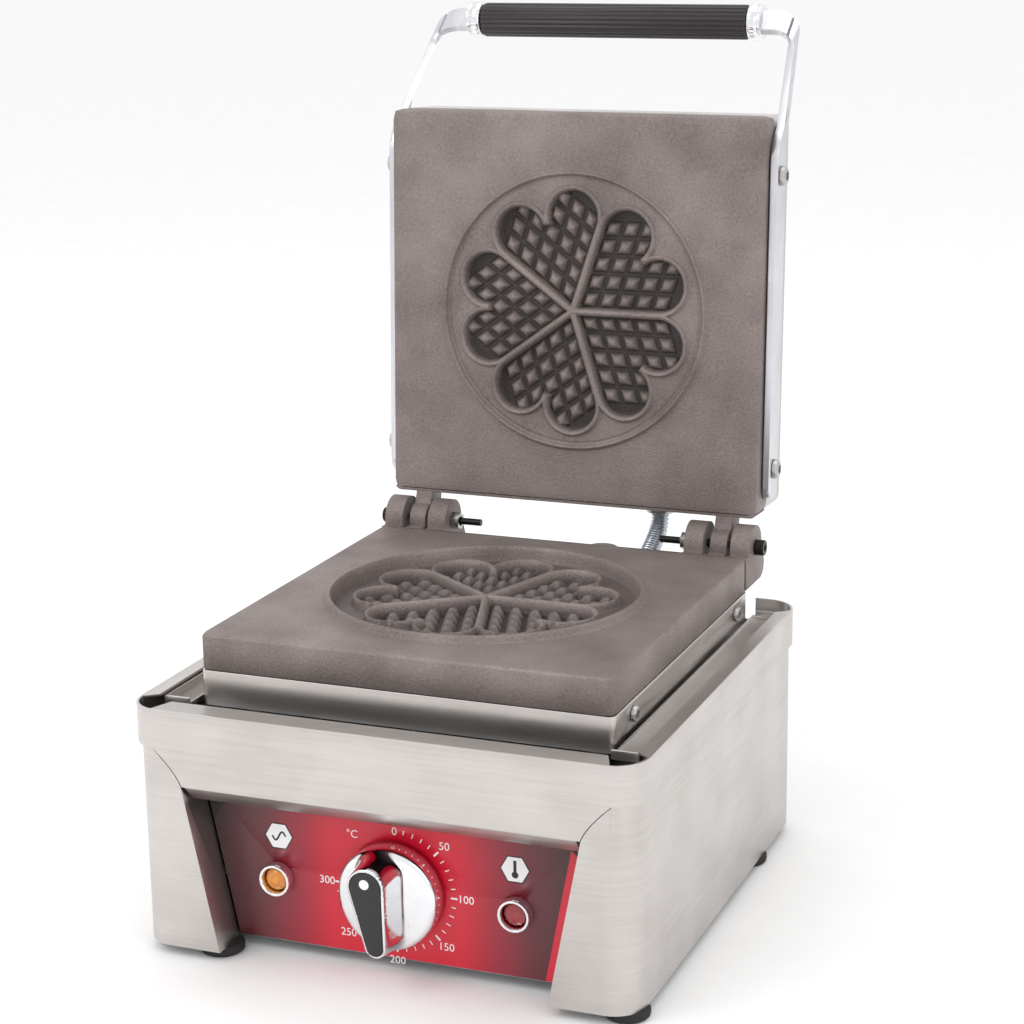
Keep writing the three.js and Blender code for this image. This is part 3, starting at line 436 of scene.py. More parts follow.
# ---------------------------------------------------------------- one Geometry Nodes tree for what repeats
def repeat_tree():
    """Puts a copy of a small piece on each point, turned by the point's own 'turn' angles."""
    tree = bpy.data.node_groups.new("repeat_on_points", "GeometryNodeTree")
    sockets = [
        ("Points", "INPUT", "NodeSocketGeometry"),
        ("Piece", "INPUT", "NodeSocketObject"),
        ("Size", "INPUT", "NodeSocketVector"),
        ("Finish", "INPUT", "NodeSocketMaterial"),
        ("Geometry", "OUTPUT", "NodeSocketGeometry"),
    ]
    for name, way, kind in sockets:
        tree.interface.new_socket(name=name, in_out=way, socket_type=kind)
    given = add(tree, "NodeGroupInput")
    source = add(tree, "GeometryNodeObjectInfo", {"Object": given.outputs["Piece"]})
    turn = add(tree, "GeometryNodeInputNamedAttribute", {"Name": "turn"}, data_type="FLOAT_VECTOR")
    rotation = add(tree, "FunctionNodeEulerToRotation", {"Euler": turn.outputs["Attribute"]})
    copies = add(
        tree,
        "GeometryNodeInstanceOnPoints",
        {
            "Points": given.outputs["Points"],
            "Instance": source.outputs["Geometry"],
            "Rotation": rotation.outputs[0],
            "Scale": given.outputs["Size"],
        },
    )
    real = add(tree, "GeometryNodeRealizeInstances", {"Geometry": copies.outputs[0]})
    painted = add(
        tree,
        "GeometryNodeSetMaterial",
        {"Geometry": real.outputs[0], "Material": given.outputs["Finish"]},
    )
    add(tree, "NodeGroupOutput", {"Geometry": painted.outputs[0]})
    return tree


REPEAT = repeat_tree()


def repeated(name, piece_mesh, places, size, material):
    """The mesh of copies of piece_mesh at places, a list of (point, Euler angles)."""
    source = bpy.data.objects.new(f"{name}_source", piece_mesh)
    bpy.context.scene.collection.objects.link(source)
    points = bpy.data.meshes.new(f"{name}_points")
    points.from_pydata([place for place, _ in places], [], [])
    turn = points.attributes.new("turn", "FLOAT_VECTOR", "POINT")
    turn.data.foreach_set("vector", [angle for _, angles in places for angle in angles])
    holder = bpy.data.objects.new(f"{name}_holder", points)
    bpy.context.scene.collection.objects.link(holder)
    modifier = holder.modifiers.new("repeat", "NODES")
    modifier.node_group = REPEAT
    identifiers = {item.name: item.identifier for item in REPEAT.interface.items_tree}
    modifier[identifiers["Piece"]] = source
    modifier[identifiers["Size"]] = size
    modifier[identifiers["Finish"]] = material
    evaluated = holder.evaluated_get(bpy.context.evaluated_depsgraph_get())
    mesh = bpy.data.meshes.new_from_object(evaluated)
    mesh.name = name
    bpy.data.objects.remove(holder)
    bpy.data.objects.remove(source)
    return mesh


# ---------------------------------------------------------------- waffle plates
PLATE_SIDE = 250.0
PLATE_CORNER = 5.0
EDGE_ROUND = 1.8
LOWER_THICKNESS = 21.0
UPPER_THICKNESS = 20.5
HEART_ANGLES = [math.radians(angle) for angle in (54, 126, 198, 270, 342)]
LOBE_DISTANCE = 60.5
RIB_HALF = 1.8
HEART_WALL = 2.2
HALF_SECTOR = math.pi / 5
LOWER_BEAD = 4.0
DISH_RADIUS = 92.0
DISH_DEPTH = 5.5
LOWER_CAVITY = 9.0
UPPER_BEAD = 2.5
UPPER_CAVITY = 6.0
WALL_EASE = 0.9
LOWER_PYRAMID = 4.6
UPPER_PYRAMID = 4.2
# How far the cavity floors are darkened, by soot and by painted shade.
SOOT_AND_SHADE_MOST = 0.85
POCKET_INSET = 26.0
POCKET_DEPTH = 9.0
PYRAMID_PITCH = 12.0
PYRAMID_MARGIN = -2.6

LOWER_LOW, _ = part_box("lower_plate")
_, UPPER_HIGH = closed_box("upper_plate")
PLATE_CENTRE_Y = LOWER_LOW.y + PLATE_SIDE / 2 * MM
LOWER_TOP = LOWER_LOW.z + LOWER_THICKNESS * MM
UPPER_FACE = UPPER_HIGH.z - UPPER_THICKNESS * MM


def ramp(value, start, end):
    share = np.clip((value - start) / (end - start), 0, 1)
    return share * share * (3 - 2 * share)


def heart_distance(x, y):
    """How far a point lies outside the nearest heart's outline, in millimetres (negative inside)."""
    across = LOBE_DISTANCE * math.sin(HALF_SECTOR / 2)
    along = LOBE_DISTANCE * math.cos(HALF_SECTOR / 2)
    radius = across - RIB_HALF
    sin, cos = math.sin(HALF_SECTOR), math.cos(HALF_SECTOR)
    nearest = np.full(np.shape(x), 1e6)
    for angle in HEART_ANGLES:
        side = np.abs(x * math.cos(angle) - y * math.sin(angle))
        out = x * math.sin(angle) + y * math.cos(angle)
        wedge = RIB_HALF - (out * sin - side * cos)
        beyond = (side - across) * sin + (out - along) * cos
        body = np.maximum(np.maximum(wedge, out - along), beyond)
        lobe = np.hypot(side - across, out - along) - radius
        nearest = np.minimum(nearest, np.minimum(body, lobe))
    return nearest


def lower_relief(x, y):
    """Height of the lower plate over its flat top: bead, dish, heart walls and cavities."""
    r = np.hypot(x, y)
    s = heart_distance(x, y)
    bead = LOWER_BEAD * (ramp(r, 91.2, 92.6) - ramp(r, 94.0, 97.4))
    dish = DISH_DEPTH * (1 - ramp(r, 90.2, 91.6))
    wall = 1 - ramp(s, HEART_WALL, HEART_WALL + 1.2)
    top = -WALL_EASE * (1 - ramp(s, 0.0, 1.7))
    z = (bead - dish) * (1 - wall) + top * wall
    cavity = ramp(-s, 0.0, 1.6)
    return z * (1 - cavity) - LOWER_CAVITY * cavity


def upper_relief(x, y):
    """Height of the upper plate over its flat face: ring bead, heart rims and cavities."""
    r = np.hypot(x, y)
    s = heart_distance(x, y)
    bead = UPPER_BEAD * (ramp(r, 86.2, 87.1) - ramp(r, 88.4, 89.6))
    groove = 0.5 * (ramp(r, 84.0, 84.6) - ramp(r, 85.2, 85.8))
    z = bead - groove
    wall = 1 - ramp(s, HEART_WALL, HEART_WALL + 1.0)
    top = UPPER_BEAD - WALL_EASE * (1 - ramp(s, 0.0, 1.7))
    z = z * (1 - wall) + top * wall
    cavity = ramp(-s, 0.0, 1.6)
    return z * (1 - cavity) - UPPER_CAVITY * cavity


def plate_lines():
    """Grid lines across a plate: fine over the pattern and coarse outside it."""
    half = PLATE_SIDE / 2 - EDGE_ROUND
    fine = np.arange(-98.0, 98.01, 0.7)
    side = np.linspace(103.0, half, 5)
    return np.concatenate([-side[::-1], fine, side])


def plate_mesh(name, relief, thickness, matrix):
    """A casting: relief on its top, rounded edges, straight sides and an element pocket below."""
    lines = plate_lines()
    x, y = np.meshgrid(lines, lines, indexing="ij")
    inner = PLATE_SIDE / 2 - PLATE_CORNER
    round_off = PLATE_CORNER - EDGE_ROUND
    cx, cy = np.clip(x, -inner, inner), np.clip(y, -inner, inner)
    away = np.hypot(x - cx, y - cy)
    shrink = np.where(away > round_off, round_off / np.maximum(away, 1e-9), 1)
    x, y = cx + (x - cx) * shrink, cy + (y - cy) * shrink
    z = relief(x, y)
    n = len(lines)
    vertices = list(zip(x.ravel(), y.ravel(), z.ravel()))
    faces = [
        (i * n + j, (i + 1) * n + j, (i + 1) * n + j + 1, i * n + j + 1)
        for i in range(n - 1)
        for j in range(n - 1)
    ]
    border = [i * n for i in range(n)]
    border += [(n - 1) * n + j for j in range(1, n)]
    border += [i * n + n - 1 for i in range(n - 2, -1, -1)]
    border += [j for j in range(n - 2, 0, -1)]
    # Rounded upper edge, side, rounded lower edge.
    steps = [
        (EDGE_ROUND * math.sin(a), EDGE_ROUND * (math.cos(a) - 1))
        for a in (math.pi / 6, math.pi / 3, math.pi / 2)
    ]
    steps += [(EDGE_ROUND, 0.8 - thickness), (EDGE_ROUND - 0.8, -thickness)]
    previous = border
    for out, down in steps:
        ring = []
        for index in border:
            px, py, _ = vertices[index]
            dx = px - max(-inner, min(inner, px))
            dy = py - max(-inner, min(inner, py))
            size = math.hypot(dx, dy)
            ring.append(len(vertices))
            vertices.append((px + dx / size * out, py + dy / size * out, down))
        count = len(ring)
        for i in range(count):
            j = (i + 1) % count
            faces.append((previous[i], ring[i], ring[j], previous[j]))
        previous = ring
    faces.append(tuple(previous))
    bm = bmesh.new()
    made = [bm.verts.new(Vector(vertex) * MM) for vertex in vertices]
    for face in faces:
        bm.faces.new([made[i] for i in face])
    bm.faces.ensure_lookup_table()
    base = bm.faces[-1]
    bmesh.ops.inset_region(bm, faces=[base], thickness=POCKET_INSET * MM, depth=0)
    pocket = bmesh.ops.extrude_face_region(bm, geom=[base])
    raised = [item for item in pocket["geom"] if isinstance(item, bmesh.types.BMVert)]
    bmesh.ops.translate(bm, verts=raised, vec=(0, 0, POCKET_DEPTH * MM))
    bmesh.ops.delete(bm, geom=[base], context="FACES_ONLY")
    return to_mesh(bm, name, matrix)


def plate_lugs(node, point, normal):
    """The ears or knuckles behind a plate, cut from the CAD casting, with rounded edges."""
    bm = merged_copy(node)
    cut = bmesh.ops.bisect_plane(
        bm, geom=bm.verts[:] + bm.edges[:] + bm.faces[:], plane_co=point, plane_no=normal, clear_inner=True
    )
    rim = [item for item in cut["geom_cut"] if isinstance(item, bmesh.types.BMEdge)]
    bmesh.ops.holes_fill(bm, edges=rim)
    bmesh.ops.dissolve_limit(bm, angle_limit=math.radians(0.8), verts=bm.verts, edges=bm.edges)
    round_edges(bm, 1.1, 3)
    return to_mesh(bm, f"{node}_lugs")


def pyramid_mesh():
    """A four-sided frustum of unit size, sharp-edged as cut in the mould."""
    levels = [(1, -0.1), (0.98, 0), (0.3, 1)]
    rings = [
        [Vector((k, 0, z)), Vector((0, k, z)), Vector((-k, 0, z)), Vector((0, -k, z))]
        for k, z in levels
    ]
    return rings_mesh("pyramid", rings)


def pyramid_places(floor):
    """Pyramids stand in rows parallel to both ribs that bound their heart."""
    sin, cos = math.sin(HALF_SECTOR), math.cos(HALF_SECTOR)
    places = []
    for angle in HEART_ANGLES:
        for i in range(8):
            for j in range(8):
                out = RIB_HALF / sin + (i + j + 1) * PYRAMID_PITCH * cos
                side = (i - j) * PYRAMID_PITCH * sin
                x = out * math.sin(angle) + side * math.cos(angle)
                y = out * math.cos(angle) - side * math.sin(angle)
                if heart_distance(np.array([x]), np.array([y]))[0] < PYRAMID_MARGIN:
                    places.append((Vector((x, y, floor)) * MM, (0, 0, -angle)))
    return places


def make_plate(name, node, relief, thickness, floor, height, matrix, body, lug_point, lug_normal):
    """A plate is one casting: relief, lugs and pyramids in one piece."""
    sin, cos = math.sin(HALF_SECTOR), math.cos(HALF_SECTOR)
    reach = 0.44 * PYRAMID_PITCH
    size = Vector((sin * 2 * reach, cos * 2 * reach, height)) * MM
    pyramids = repeated(f"{name}_pyramids", pyramid_mesh(), pyramid_places(floor), size, cast_iron)
    pyramids.transform(matrix)
    plate = plate_mesh(name, relief, thickness, matrix)
    bm = bmesh.new()
    bm.from_mesh(plate)
    bm.from_mesh(pyramids)
    bm.from_mesh(plate_lugs(node, lug_point, lug_normal))
    mesh = bpy.data.meshes.new(name)
    bm.to_mesh(mesh)
    bm.free()
    # Soot and painted shade: darkest on the floor of the cavities, thinning out up the walls and the pyramids.
    local = matrix.inverted()
    soot_and_shade = mesh.attributes.new("soot_and_shade", "FLOAT", "POINT")
    depths = []
    for vertex in mesh.vertices:
        place = local @ vertex.co / MM
        inside = math.hypot(place.x, place.y) < DISH_RADIUS and floor - 1 < place.z
        share = ramp(np.array(place.z / floor), 0.25, 1.0).item()
        depths.append(SOOT_AND_SHADE_MOST * share if inside else 0.0)
    soot_and_shade.data.foreach_set("value", depths)
    return finished(name, mesh, cast_iron, body, [node], angle=40)


def make_plates():
    lower = Matrix.Translation((0, PLATE_CENTRE_Y, LOWER_TOP))
    rear = PLATE_CENTRE_Y + (PLATE_SIDE / 2 - 2.4) * MM
    make_plate(
        "lower_waffle_plate", "lower_plate", lower_relief, LOWER_THICKNESS,
        -LOWER_CAVITY, LOWER_PYRAMID, lower, "root",
        Vector((0, rear, 0)), Vector((0, 1, 0)),
    )
    # The upper plate's face looks down with the lid closed, so it is drawn turned over.
    over = Matrix.Diagonal((1, 1, -1, 1))
    upper = OPENED @ Matrix.Translation((0, PLATE_CENTRE_Y, UPPER_FACE)) @ over
    make_plate(
        "upper_waffle_plate", "upper_plate", upper_relief, UPPER_THICKNESS,
        -UPPER_CAVITY, UPPER_PYRAMID, upper, "lid",
        OPENED @ Vector((0, rear, 0)), OPENED.to_3x3() @ Vector((0, 1, 0)),
    )


# ---------------------------------------------------------------- handle
def bail_station(point, thick, wide, half_width):
    """An eight-cornered section of the flat bar: 5 mm thick, with its corners eased."""
    half, ease = 2.5, 0.7
    corners = [
        (half, half_width - ease),
        (half - ease, half_width),
        (ease - half, half_width),
        (-half, half_width - ease),
        (-half, ease - half_width),
        (ease - half, -half_width),
        (half - ease, -half_width),
        (half, ease - half_width),
    ]
    return [(Vector(point) + thick * a + wide * b) * MM for a, b in corners]


def bail_side(side, rear, bend, grip):
    """One side of the bail, rounded rear end to grip cap, in millimetres with the lid down."""
    x0, x1 = side * 128.2, side * 121.5
    up, across = Vector((0, 0, 1)), Vector((side, 0, 0))
    arm = Vector((0, grip[0] - bend[0], grip[1] - bend[1])).normalized()
    arm_wide = Vector((0, -arm.z, -arm.y)).normalized()
    if arm_wide.z < 0:
        arm_wide.negate()
    stations = []
    width = 9.5
    for share in (0.02, 0.12, 0.3, 0.6, 1.0):
        half = width * math.sqrt(1 - (1 - share) ** 2)
        stations.append(bail_station((x0, rear[0] - share * width, rear[1]), across, up, max(half, 1.2)))
    turn = 16.0
    for step in range(7):
        share = step / 6
        along = (1 - share) ** 2, 2 * share * (1 - share), share**2
        start = Vector((x0, bend[0] + turn, bend[1]))
        end = Vector((x0, bend[0], bend[1])) + arm * turn
        point = start * along[0] + Vector((x0, *bend)) * along[1] + end * along[2]
        stations.append(bail_station(point, across, up.lerp(arm_wide, share).normalized(), width))
    corner = 15.0
    top = Vector((x1, grip[0], grip[1]))
    inward = Vector((-side, 0, 0))
    lean = (Vector((x1, *grip)) - Vector((x0, *bend))).normalized()
    for step in range(11):
        share = step / 10
        start, end = top - lean * corner, top + inward * corner
        point = start * (1 - share) ** 2 + top * 2 * share * (1 - share) + end * share**2
        tangent = lean.lerp(inward, ramp(np.array(share), 0, 1).item()).normalized()
        thick = tangent.cross(arm_wide).normalized() * side
        turned_in = thick.x * side < 0 and share < 0.5
        stations.append(bail_station(point, -thick if turned_in else thick, arm_wide, width))
    last = Vector((side * 99.5, *grip))
    stations.append(bail_station(last, thick, arm_wide, width))
    return stations


BEND_REACH = 255.0  # from the hinge line forward to the bend in the bail
GRIP_RADIUS = 11.0
FLUTES = 22
FLUTE_DEPTH = 0.75
# From the grip outward: share of the cap's length, and radius in millimetres.
CAP_PROFILE = [
    (0, 10.4),
    (0.08, 11.4),
    (0.2, 12),
    (0.55, 12),
    (0.62, 11.2),
    (0.72, 10.8),
    (0.8, 11.3),
    (0.93, 11.2),
    (1, 10.2),
]


def make_handle():
    _, bail_high = closed_box("handle_bail")
    grip_low, grip_high = closed_box("handle_grip")
    bolt_low, bolt_high = closed_box("handle_bolt_rear_left")
    grip = ((grip_low.y + grip_high.y) / 2 / MM, (grip_low.z + grip_high.z) / 2 / MM)
    bar_z = (bolt_low.z + bolt_high.z) / 2 / MM
    rear = (bail_high.y / MM, bar_z)
    bend = (HINGE.y / MM - BEND_REACH, bar_z)
    bm = bmesh.new()
    for side in (-1, 1):
        bm.from_mesh(rings_mesh("side", bail_side(side, rear, bend, grip)))
    bmesh.ops.recalc_face_normals(bm, faces=bm.faces)
    finished("bail", to_mesh(bm, "bail", OPENED), satin_bar, "lid", ["handle_bail"], angle=40)

    half = grip_high.x / MM
    centre = Matrix.Translation((0, grip[0] * MM, grip[1] * MM)) @ Matrix.Rotation(math.pi / 2, 4, "Y")
    sides = FLUTES * 8
    rings = []
    eased = [(-half, 1.6), (-half + 0.5, 0.6), (-half + 1.6, 0.0)]
    eased += [(-along, inset) for along, inset in eased[::-1]]
    for along, inset in eased:
        ring = []
        for i in range(sides):
            a = 2 * math.pi * i / sides
            flute = FLUTE_DEPTH * (0.5 + 0.5 * math.cos(FLUTES * a)) ** 1.5
            radius = GRIP_RADIUS - inset - flute
            ring.append(Vector((radius * math.cos(a), radius * math.sin(a), along)) * MM)
        rings.append(ring)
    fluted = rings_mesh("grip", rings, matrix=OPENED @ centre)
    finished("fluted_grip", fluted, bakelite, "lid", ["handle_grip"], angle=50)
    for side, name in ((-1, "grip_cap_left"), (1, "grip_cap_right")):
        low, high = closed_box(name)
        ends = (low.x / MM, high.x / MM) if side > 0 else (high.x / MM, low.x / MM)
        rings = []
        for share, radius in CAP_PROFILE:
            along = ends[0] + (ends[1] - ends[0]) * share
            scallop = 0.5 if 0.1 < share < 0.6 else 0
            ring = []
            for i in range(96):
                a = 2 * math.pi * i / 96
                r = radius - scallop * (0.5 + 0.5 * math.cos(16 * a))
                ring.append(Vector((r * math.cos(a), r * math.sin(a), along)) * MM)
            rings.append(ring)
        cap = rings_mesh(name, rings, matrix=OPENED @ centre)
        finished(f"{name}_piece", cap, chrome, "lid", [name], angle=50)


# ---------------------------------------------------------------- conduit
CONDUIT_RADIUS = 5.5
CONDUIT_RIDGE = 0.5
CONDUIT_PITCH = 2.4
CONDUIT_SIDES = 28
CONDUIT_STEPS = 150


def make_conduit():
    """Flexible steel conduit: rings every 2.4 mm along a curve between its two fittings."""
    low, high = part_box("base_conduit_fitting")
    x, y0, z0 = (low.x + high.x) / 2, (low.y + high.y) / 2, high.z
    flange_low, flange_high = closed_box("lid_conduit_fitting")
    end = OPENED @ Vector((x, flange_high.y, (flange_low.z + flange_high.z) / 2))
    rise = end.z - z0
    knots = [
        Vector((x, y0, z0)),
        Vector((x, y0, z0 + rise * 0.55)),
        Vector((x, end.y, end.z - rise * 0.55)),
        end,
    ]
    count = CONDUIT_STEPS
    points = []
    for i in range(count + 1):
        t = i / count
        weights = ((1 - t) ** 3, 3 * t * (1 - t) ** 2, 3 * t * t * (1 - t), t**3)
        points.append(sum((knot * weight for knot, weight in zip(knots, weights)), Vector()))
    length = [0.0]
    for a, b in zip(points, points[1:]):
        length.append(length[-1] + (b - a).length / MM)
    rings = []
    angles = [2 * math.pi * k / CONDUIT_SIDES for k in range(CONDUIT_SIDES)]
    for i, point in enumerate(points):
        tangent = (points[min(i + 1, count)] - points[max(i - 1, 0)]).normalized()
        side = Vector((1, 0, 0))
        up = tangent.cross(side).normalized()
        radius = CONDUIT_RADIUS + CONDUIT_RIDGE * math.cos(2 * math.pi * length[i] / CONDUIT_PITCH)
        rings.append(
            [point + (side * math.cos(a) + up * math.sin(a)) * radius * MM for a in angles]
        )
    mesh = rings_mesh("conduit", rings)
    mesh.materials.append(conduit_steel)
    mesh.shade_smooth()
    piece = bpy.data.objects.new("flexible_conduit", mesh)
    bpy.context.scene.collection.objects.link(piece)
    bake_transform(piece)
    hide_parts("lid_conduit")


# ---------------------------------------------------------------- knob, dial and lamps
KNOB_LOW, KNOB_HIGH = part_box("knob")
KNOB_RADIUS = 30.0
KNOB_SIDES = 200
SKIRT_HEIGHT = 14.5
# The grip bar: centre of its round end, distance to the centre of the thin end, radius and taper.
BAR_END = 15.0
BAR_LENGTH = 34.5
BAR_RADIUS = 11.0
BAR_TAPER = 4.5


def drop_distance(u, v):
    """Distance outside the grip bar's drop outline, round at the pointer end."""
    share = np.clip((BAR_END - v) / BAR_LENGTH, 0, 1)
    return np.hypot(u, v - (BAR_END - BAR_LENGTH * share)) - (BAR_RADIUS - BAR_TAPER * share)


def knob_height(u, v):
    """Height of the knob's face over its back: skirt, two flats and a concave-sided grip bar."""
    r = np.hypot(u, v)
    d = drop_distance(u, v)
    edge = np.clip((r - KNOB_RADIUS + 3) / 3, 0, 1)
    skirt = SKIRT_HEIGHT - 0.16 * np.maximum(np.abs(u) - 13, 0) - 3 * (1 - np.sqrt(1 - edge * edge))
    bar = (KNOB_HIGH.y - KNOB_LOW.y) / MM - SKIRT_HEIGHT
    flank = np.clip(1 - np.maximum(d, 0) / 5.5, 0, 1) ** 3
    flank = np.where(d < 0, 1 - 0.03 * ramp(d, -1.0, 0), 0.97 * flank)
    seat = 1.5 * ramp(-d, 1.4, 1.8)
    return skirt + bar * flank * (1 - edge * 0.3) - seat


def make_knob():
    back = Matrix.Translation((0, KNOB_HIGH.y, KNOB_AXIS.z)) @ Matrix.Rotation(-KNOB_TILT, 4, "Y")
    face = back @ Matrix.Rotation(math.pi / 2, 4, "X")
    angles = [2 * math.pi * i / KNOB_SIDES for i in range(KNOB_SIDES)]
    rings = [[Vector((0.05 * math.cos(a), 0.05 * math.sin(a), 0)) * MM for a in angles]]
    for radius, height in ((KNOB_RADIUS - 0.3, 0), (KNOB_RADIUS, 0.4)):
        rings.append([Vector((radius * math.cos(a), radius * math.sin(a), height)) * MM for a in angles])
    for r in np.linspace(KNOB_RADIUS, 0.3, 100):
        u, v = r * np.cos(angles), r * np.sin(angles)
        rings.append([Vector(p) * MM for p in zip(u, v, knob_height(u, v))])
    body = rings_mesh("knob", rings, matrix=face)
    finished("knob_body", body, chrome, "knob", ["knob"], angle=38)
    refined("knob_insert", 0.5, nylon, "knob", 3)
    low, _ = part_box("knob_insert")
    dot = turned("dot", [(2.9, -0.3), (2.9, 0.02), (2.6, 0.12), (1.5, 0.2), (0.1, 0.22)], 32, None)
    lift = (KNOB_HIGH.y - low.y) / MM
    dot.transform(face @ Matrix.Translation((0, 17.5 * MM, lift * MM)))
    finished("pointer_dot", dot, white_ink, "knob")


PANEL_LOW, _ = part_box("panel_overlay")
PRINT_Y = PANEL_LOW.y - 0.04 * MM


def on_panel(x, z, lift=0.0):
    """From a flat drawing facing +Z to the panel, facing the user."""
    return Matrix.Translation((x * MM, PRINT_Y - lift * MM, z * MM)) @ Matrix.Rotation(math.pi / 2, 4, "X")


def flat_shape(points, hole=None, matrix=None):
    """A thin printed shape of a few hundredths of a millimetre, with an optional hole."""
    bm = bmesh.new()
    outer = [bm.verts.new(Vector((*point, 0)) * MM) for point in points]
    if hole is None:
        bm.faces.new(outer)
    else:
        inner = [bm.verts.new(Vector((*point, 0)) * MM) for point in hole]
        for i in range(len(outer)):
            j = (i + 1) % len(outer)
            bm.faces.new((outer[i], outer[j], inner[j], inner[i]))
    made = bmesh.ops.extrude_face_region(bm, geom=bm.faces[:])
    up = [item for item in made["geom"] if isinstance(item, bmesh.types.BMVert)]
    bmesh.ops.translate(bm, verts=up, vec=(0, 0, 0.03 * MM))
    return to_mesh(bm, "flat", matrix)


def text_mesh(words, size, matrix):
    curve = bpy.data.curves.new("text", "FONT")
    curve.body = words
    curve.size = size * MM
    curve.align_x = "CENTER"
    curve.align_y = "CENTER"
    curve.extrude = 0.02 * MM
    curve.resolution_u = 4
    holder = bpy.data.objects.new("text", curve)
    bpy.context.scene.collection.objects.link(holder)
    mesh = bpy.data.meshes.new_from_object(holder.evaluated_get(bpy.context.evaluated_depsgraph_get()))
    bpy.data.objects.remove(holder)
    mesh.transform(matrix)
    return mesh


def joined(name, meshes, material, body, nodes=()):
    bm = bmesh.new()
    for mesh in meshes:
        bm.from_mesh(mesh)
    mesh = bpy.data.meshes.new(name)
    bm.to_mesh(mesh)
    bm.free()
    return finished(name, mesh, material, body, nodes)


def hexagon(radius):
    angles = [math.radians(60 * i) for i in range(6)]
    return [(radius * math.cos(a), radius * math.sin(a)) for a in angles]


def strip(points, width):
    """A line of constant width through the points, as an outline."""
    left, right = [], []
    for i, (x, y) in enumerate(points):
        ax, ay = points[max(i - 1, 0)]
        bx, by = points[min(i + 1, len(points) - 1)]
        size = math.hypot(bx - ax, by - ay)
        nx, ny = -(by - ay) / size * width / 2, (bx - ax) / size * width / 2
        left.append((x + nx, y + ny))
        right.append((x - nx, y - ny))
    return left + right[::-1]


# The dial: radii of the numbers, of the zero and of the ticks, and degrees of turn for each unit.
NUMBER_REACH = 42.5
ZERO_REACH = 35.0
TICK_REACH = 35.4
DIAL_STEP = 0.9
# The two pictograms' distance from the panel's middle, and their height.
ICON_X = 72
ICON_Z = 71.6
# Faceted dome of a lamp lens: radius and height over the panel, in millimetres.
LENS_PROFILE = [(7.1, -3), (7.1, 2.2), (6.5, 3.6), (4.6, 4.9), (2.2, 5.6), (0.1, 5.7)]


def make_panel():
    refined("panel_overlay", 0.05, film, "root", 1)
    dial_z = KNOB_AXIS.z / MM
    numbers = []
    for value in range(0, 301, 50):
        angle = math.radians(value * DIAL_STEP)
        reach = NUMBER_REACH if value else ZERO_REACH
        x, z = reach * math.sin(angle), dial_z + reach * math.cos(angle)
        numbers.append(text_mesh(str(value), 6.6, on_panel(x, z)))
    numbers.append(text_mesh("°C", 6.6, on_panel(-26, dial_z + 30)))
    joined("dial_numbers", numbers, white_ink, "root")

    tick = flat_shape([(-0.5, -0.5), (0.5, -0.5), (0.5, 0.5), (-0.5, 0.5)])
    places = {True: [], False: []}
    for value in range(10, 301, 10):
        angle = math.radians(value * DIAL_STEP)
        point = Vector((math.sin(angle), math.cos(angle), 0)) * TICK_REACH * MM
        places[value % 50 == 0].append((point, (0, 0, -angle)))
    bold = repeated("ticks_bold", tick, places[True], (1.1, 4.0, 1.0), white_ink)
    fine = repeated("ticks_fine", tick.copy(), places[False], (0.6, 2.8, 1.0), white_ink)
    for mesh in (bold, fine):
        mesh.transform(on_panel(0, dial_z))
    joined("dial_ticks", [bold, fine], white_ink, "root")

    white, dark = [], []
    wave = [(x, 2.6 * math.sin(x * math.pi / 4.2)) for x in np.linspace(-4.2, 4.2, 21)]
    for x in (-ICON_X, ICON_X):
        dark.append(flat_shape(hexagon(9.0), hexagon(8.2), on_panel(x, ICON_Z)))
        white.append(flat_shape(hexagon(8.2), None, on_panel(x, ICON_Z)))
    dark.append(flat_shape(strip(wave, 1.1), None, on_panel(-ICON_X, ICON_Z, 0.05)))
    stem = [(-0.9, 5.2), (-0.9, -1.6), (0.9, -1.6), (0.9, 5.2)]
    round_angles = [2 * math.pi * i / 16 for i in range(16)]
    bulb = [(2.0 * math.cos(a), -3.2 + 2.0 * math.sin(a)) for a in round_angles]
    dark.append(flat_shape(stem, None, on_panel(ICON_X, ICON_Z, 0.05)))
    dark.append(flat_shape(bulb, None, on_panel(ICON_X, ICON_Z, 0.06)))
    joined("icon_hexagons", white, white_ink, "root")
    # The thin outlines, the dark corner fields and the line beside the stripe are black ink.
    foot, head = 99.2, 117.5
    line = [(foot - 0.2, 9), (foot + 0.8, 9), (head + 0.2, 99), (head - 0.8, 99)]
    dark.append(flat_shape([(x - 2.0, z) for x, z in line], None, on_panel(0, 0)))
    for side in (-1, 1):
        arc = [
            (side * (52 + 60 * math.sin(a)), 100 - 24 * (1 - math.cos(a)))
            for a in np.linspace(0, math.pi / 2, 12)
        ]
        edge = [(side * 117.4, 99.4), (side * 113.0, 76.0)]
        outline = [(side * 52, 99.6)] + arc[1:] + edge[::-1]
        dark.append(flat_shape(outline, None, on_panel(0, 0, -0.02)))
    joined("panel_black_ink", dark, black_ink, "root")

    for name, material, slot in (("power_lamp", amber, "amber_lens"), ("heat_lamp", red_lens, "red_lens")):
        refined(f"{name}_bezel", 0.5, chrome, "root", 3)
        low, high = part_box(f"{name}_lens")
        centre = Matrix.Translation(((low.x + high.x) / 2, PANEL_LOW.y, (low.z + high.z) / 2))
        matrix = centre @ Matrix.Rotation(math.pi / 2, 4, "X")
        rings = []
        for row, (radius, height) in enumerate(LENS_PROFILE):
            turn = 0.5 * row if row > 1 else 0
            rings.append([
                Vector((radius * math.cos(a), radius * math.sin(a), height)) * MM
                for a in (2 * math.pi * (i + turn) / 12 for i in range(12))
            ])
        mesh = rings_mesh(name, rings, matrix=matrix)
        bm = bmesh.new()
        bm.from_mesh(mesh)
        bmesh.ops.triangulate(bm, faces=bm.faces)
        bm.to_mesh(mesh)
        bm.free()
        finished(f"{name}_lens_piece", mesh, material, "root", [f"{name}_lens"], angle=4)


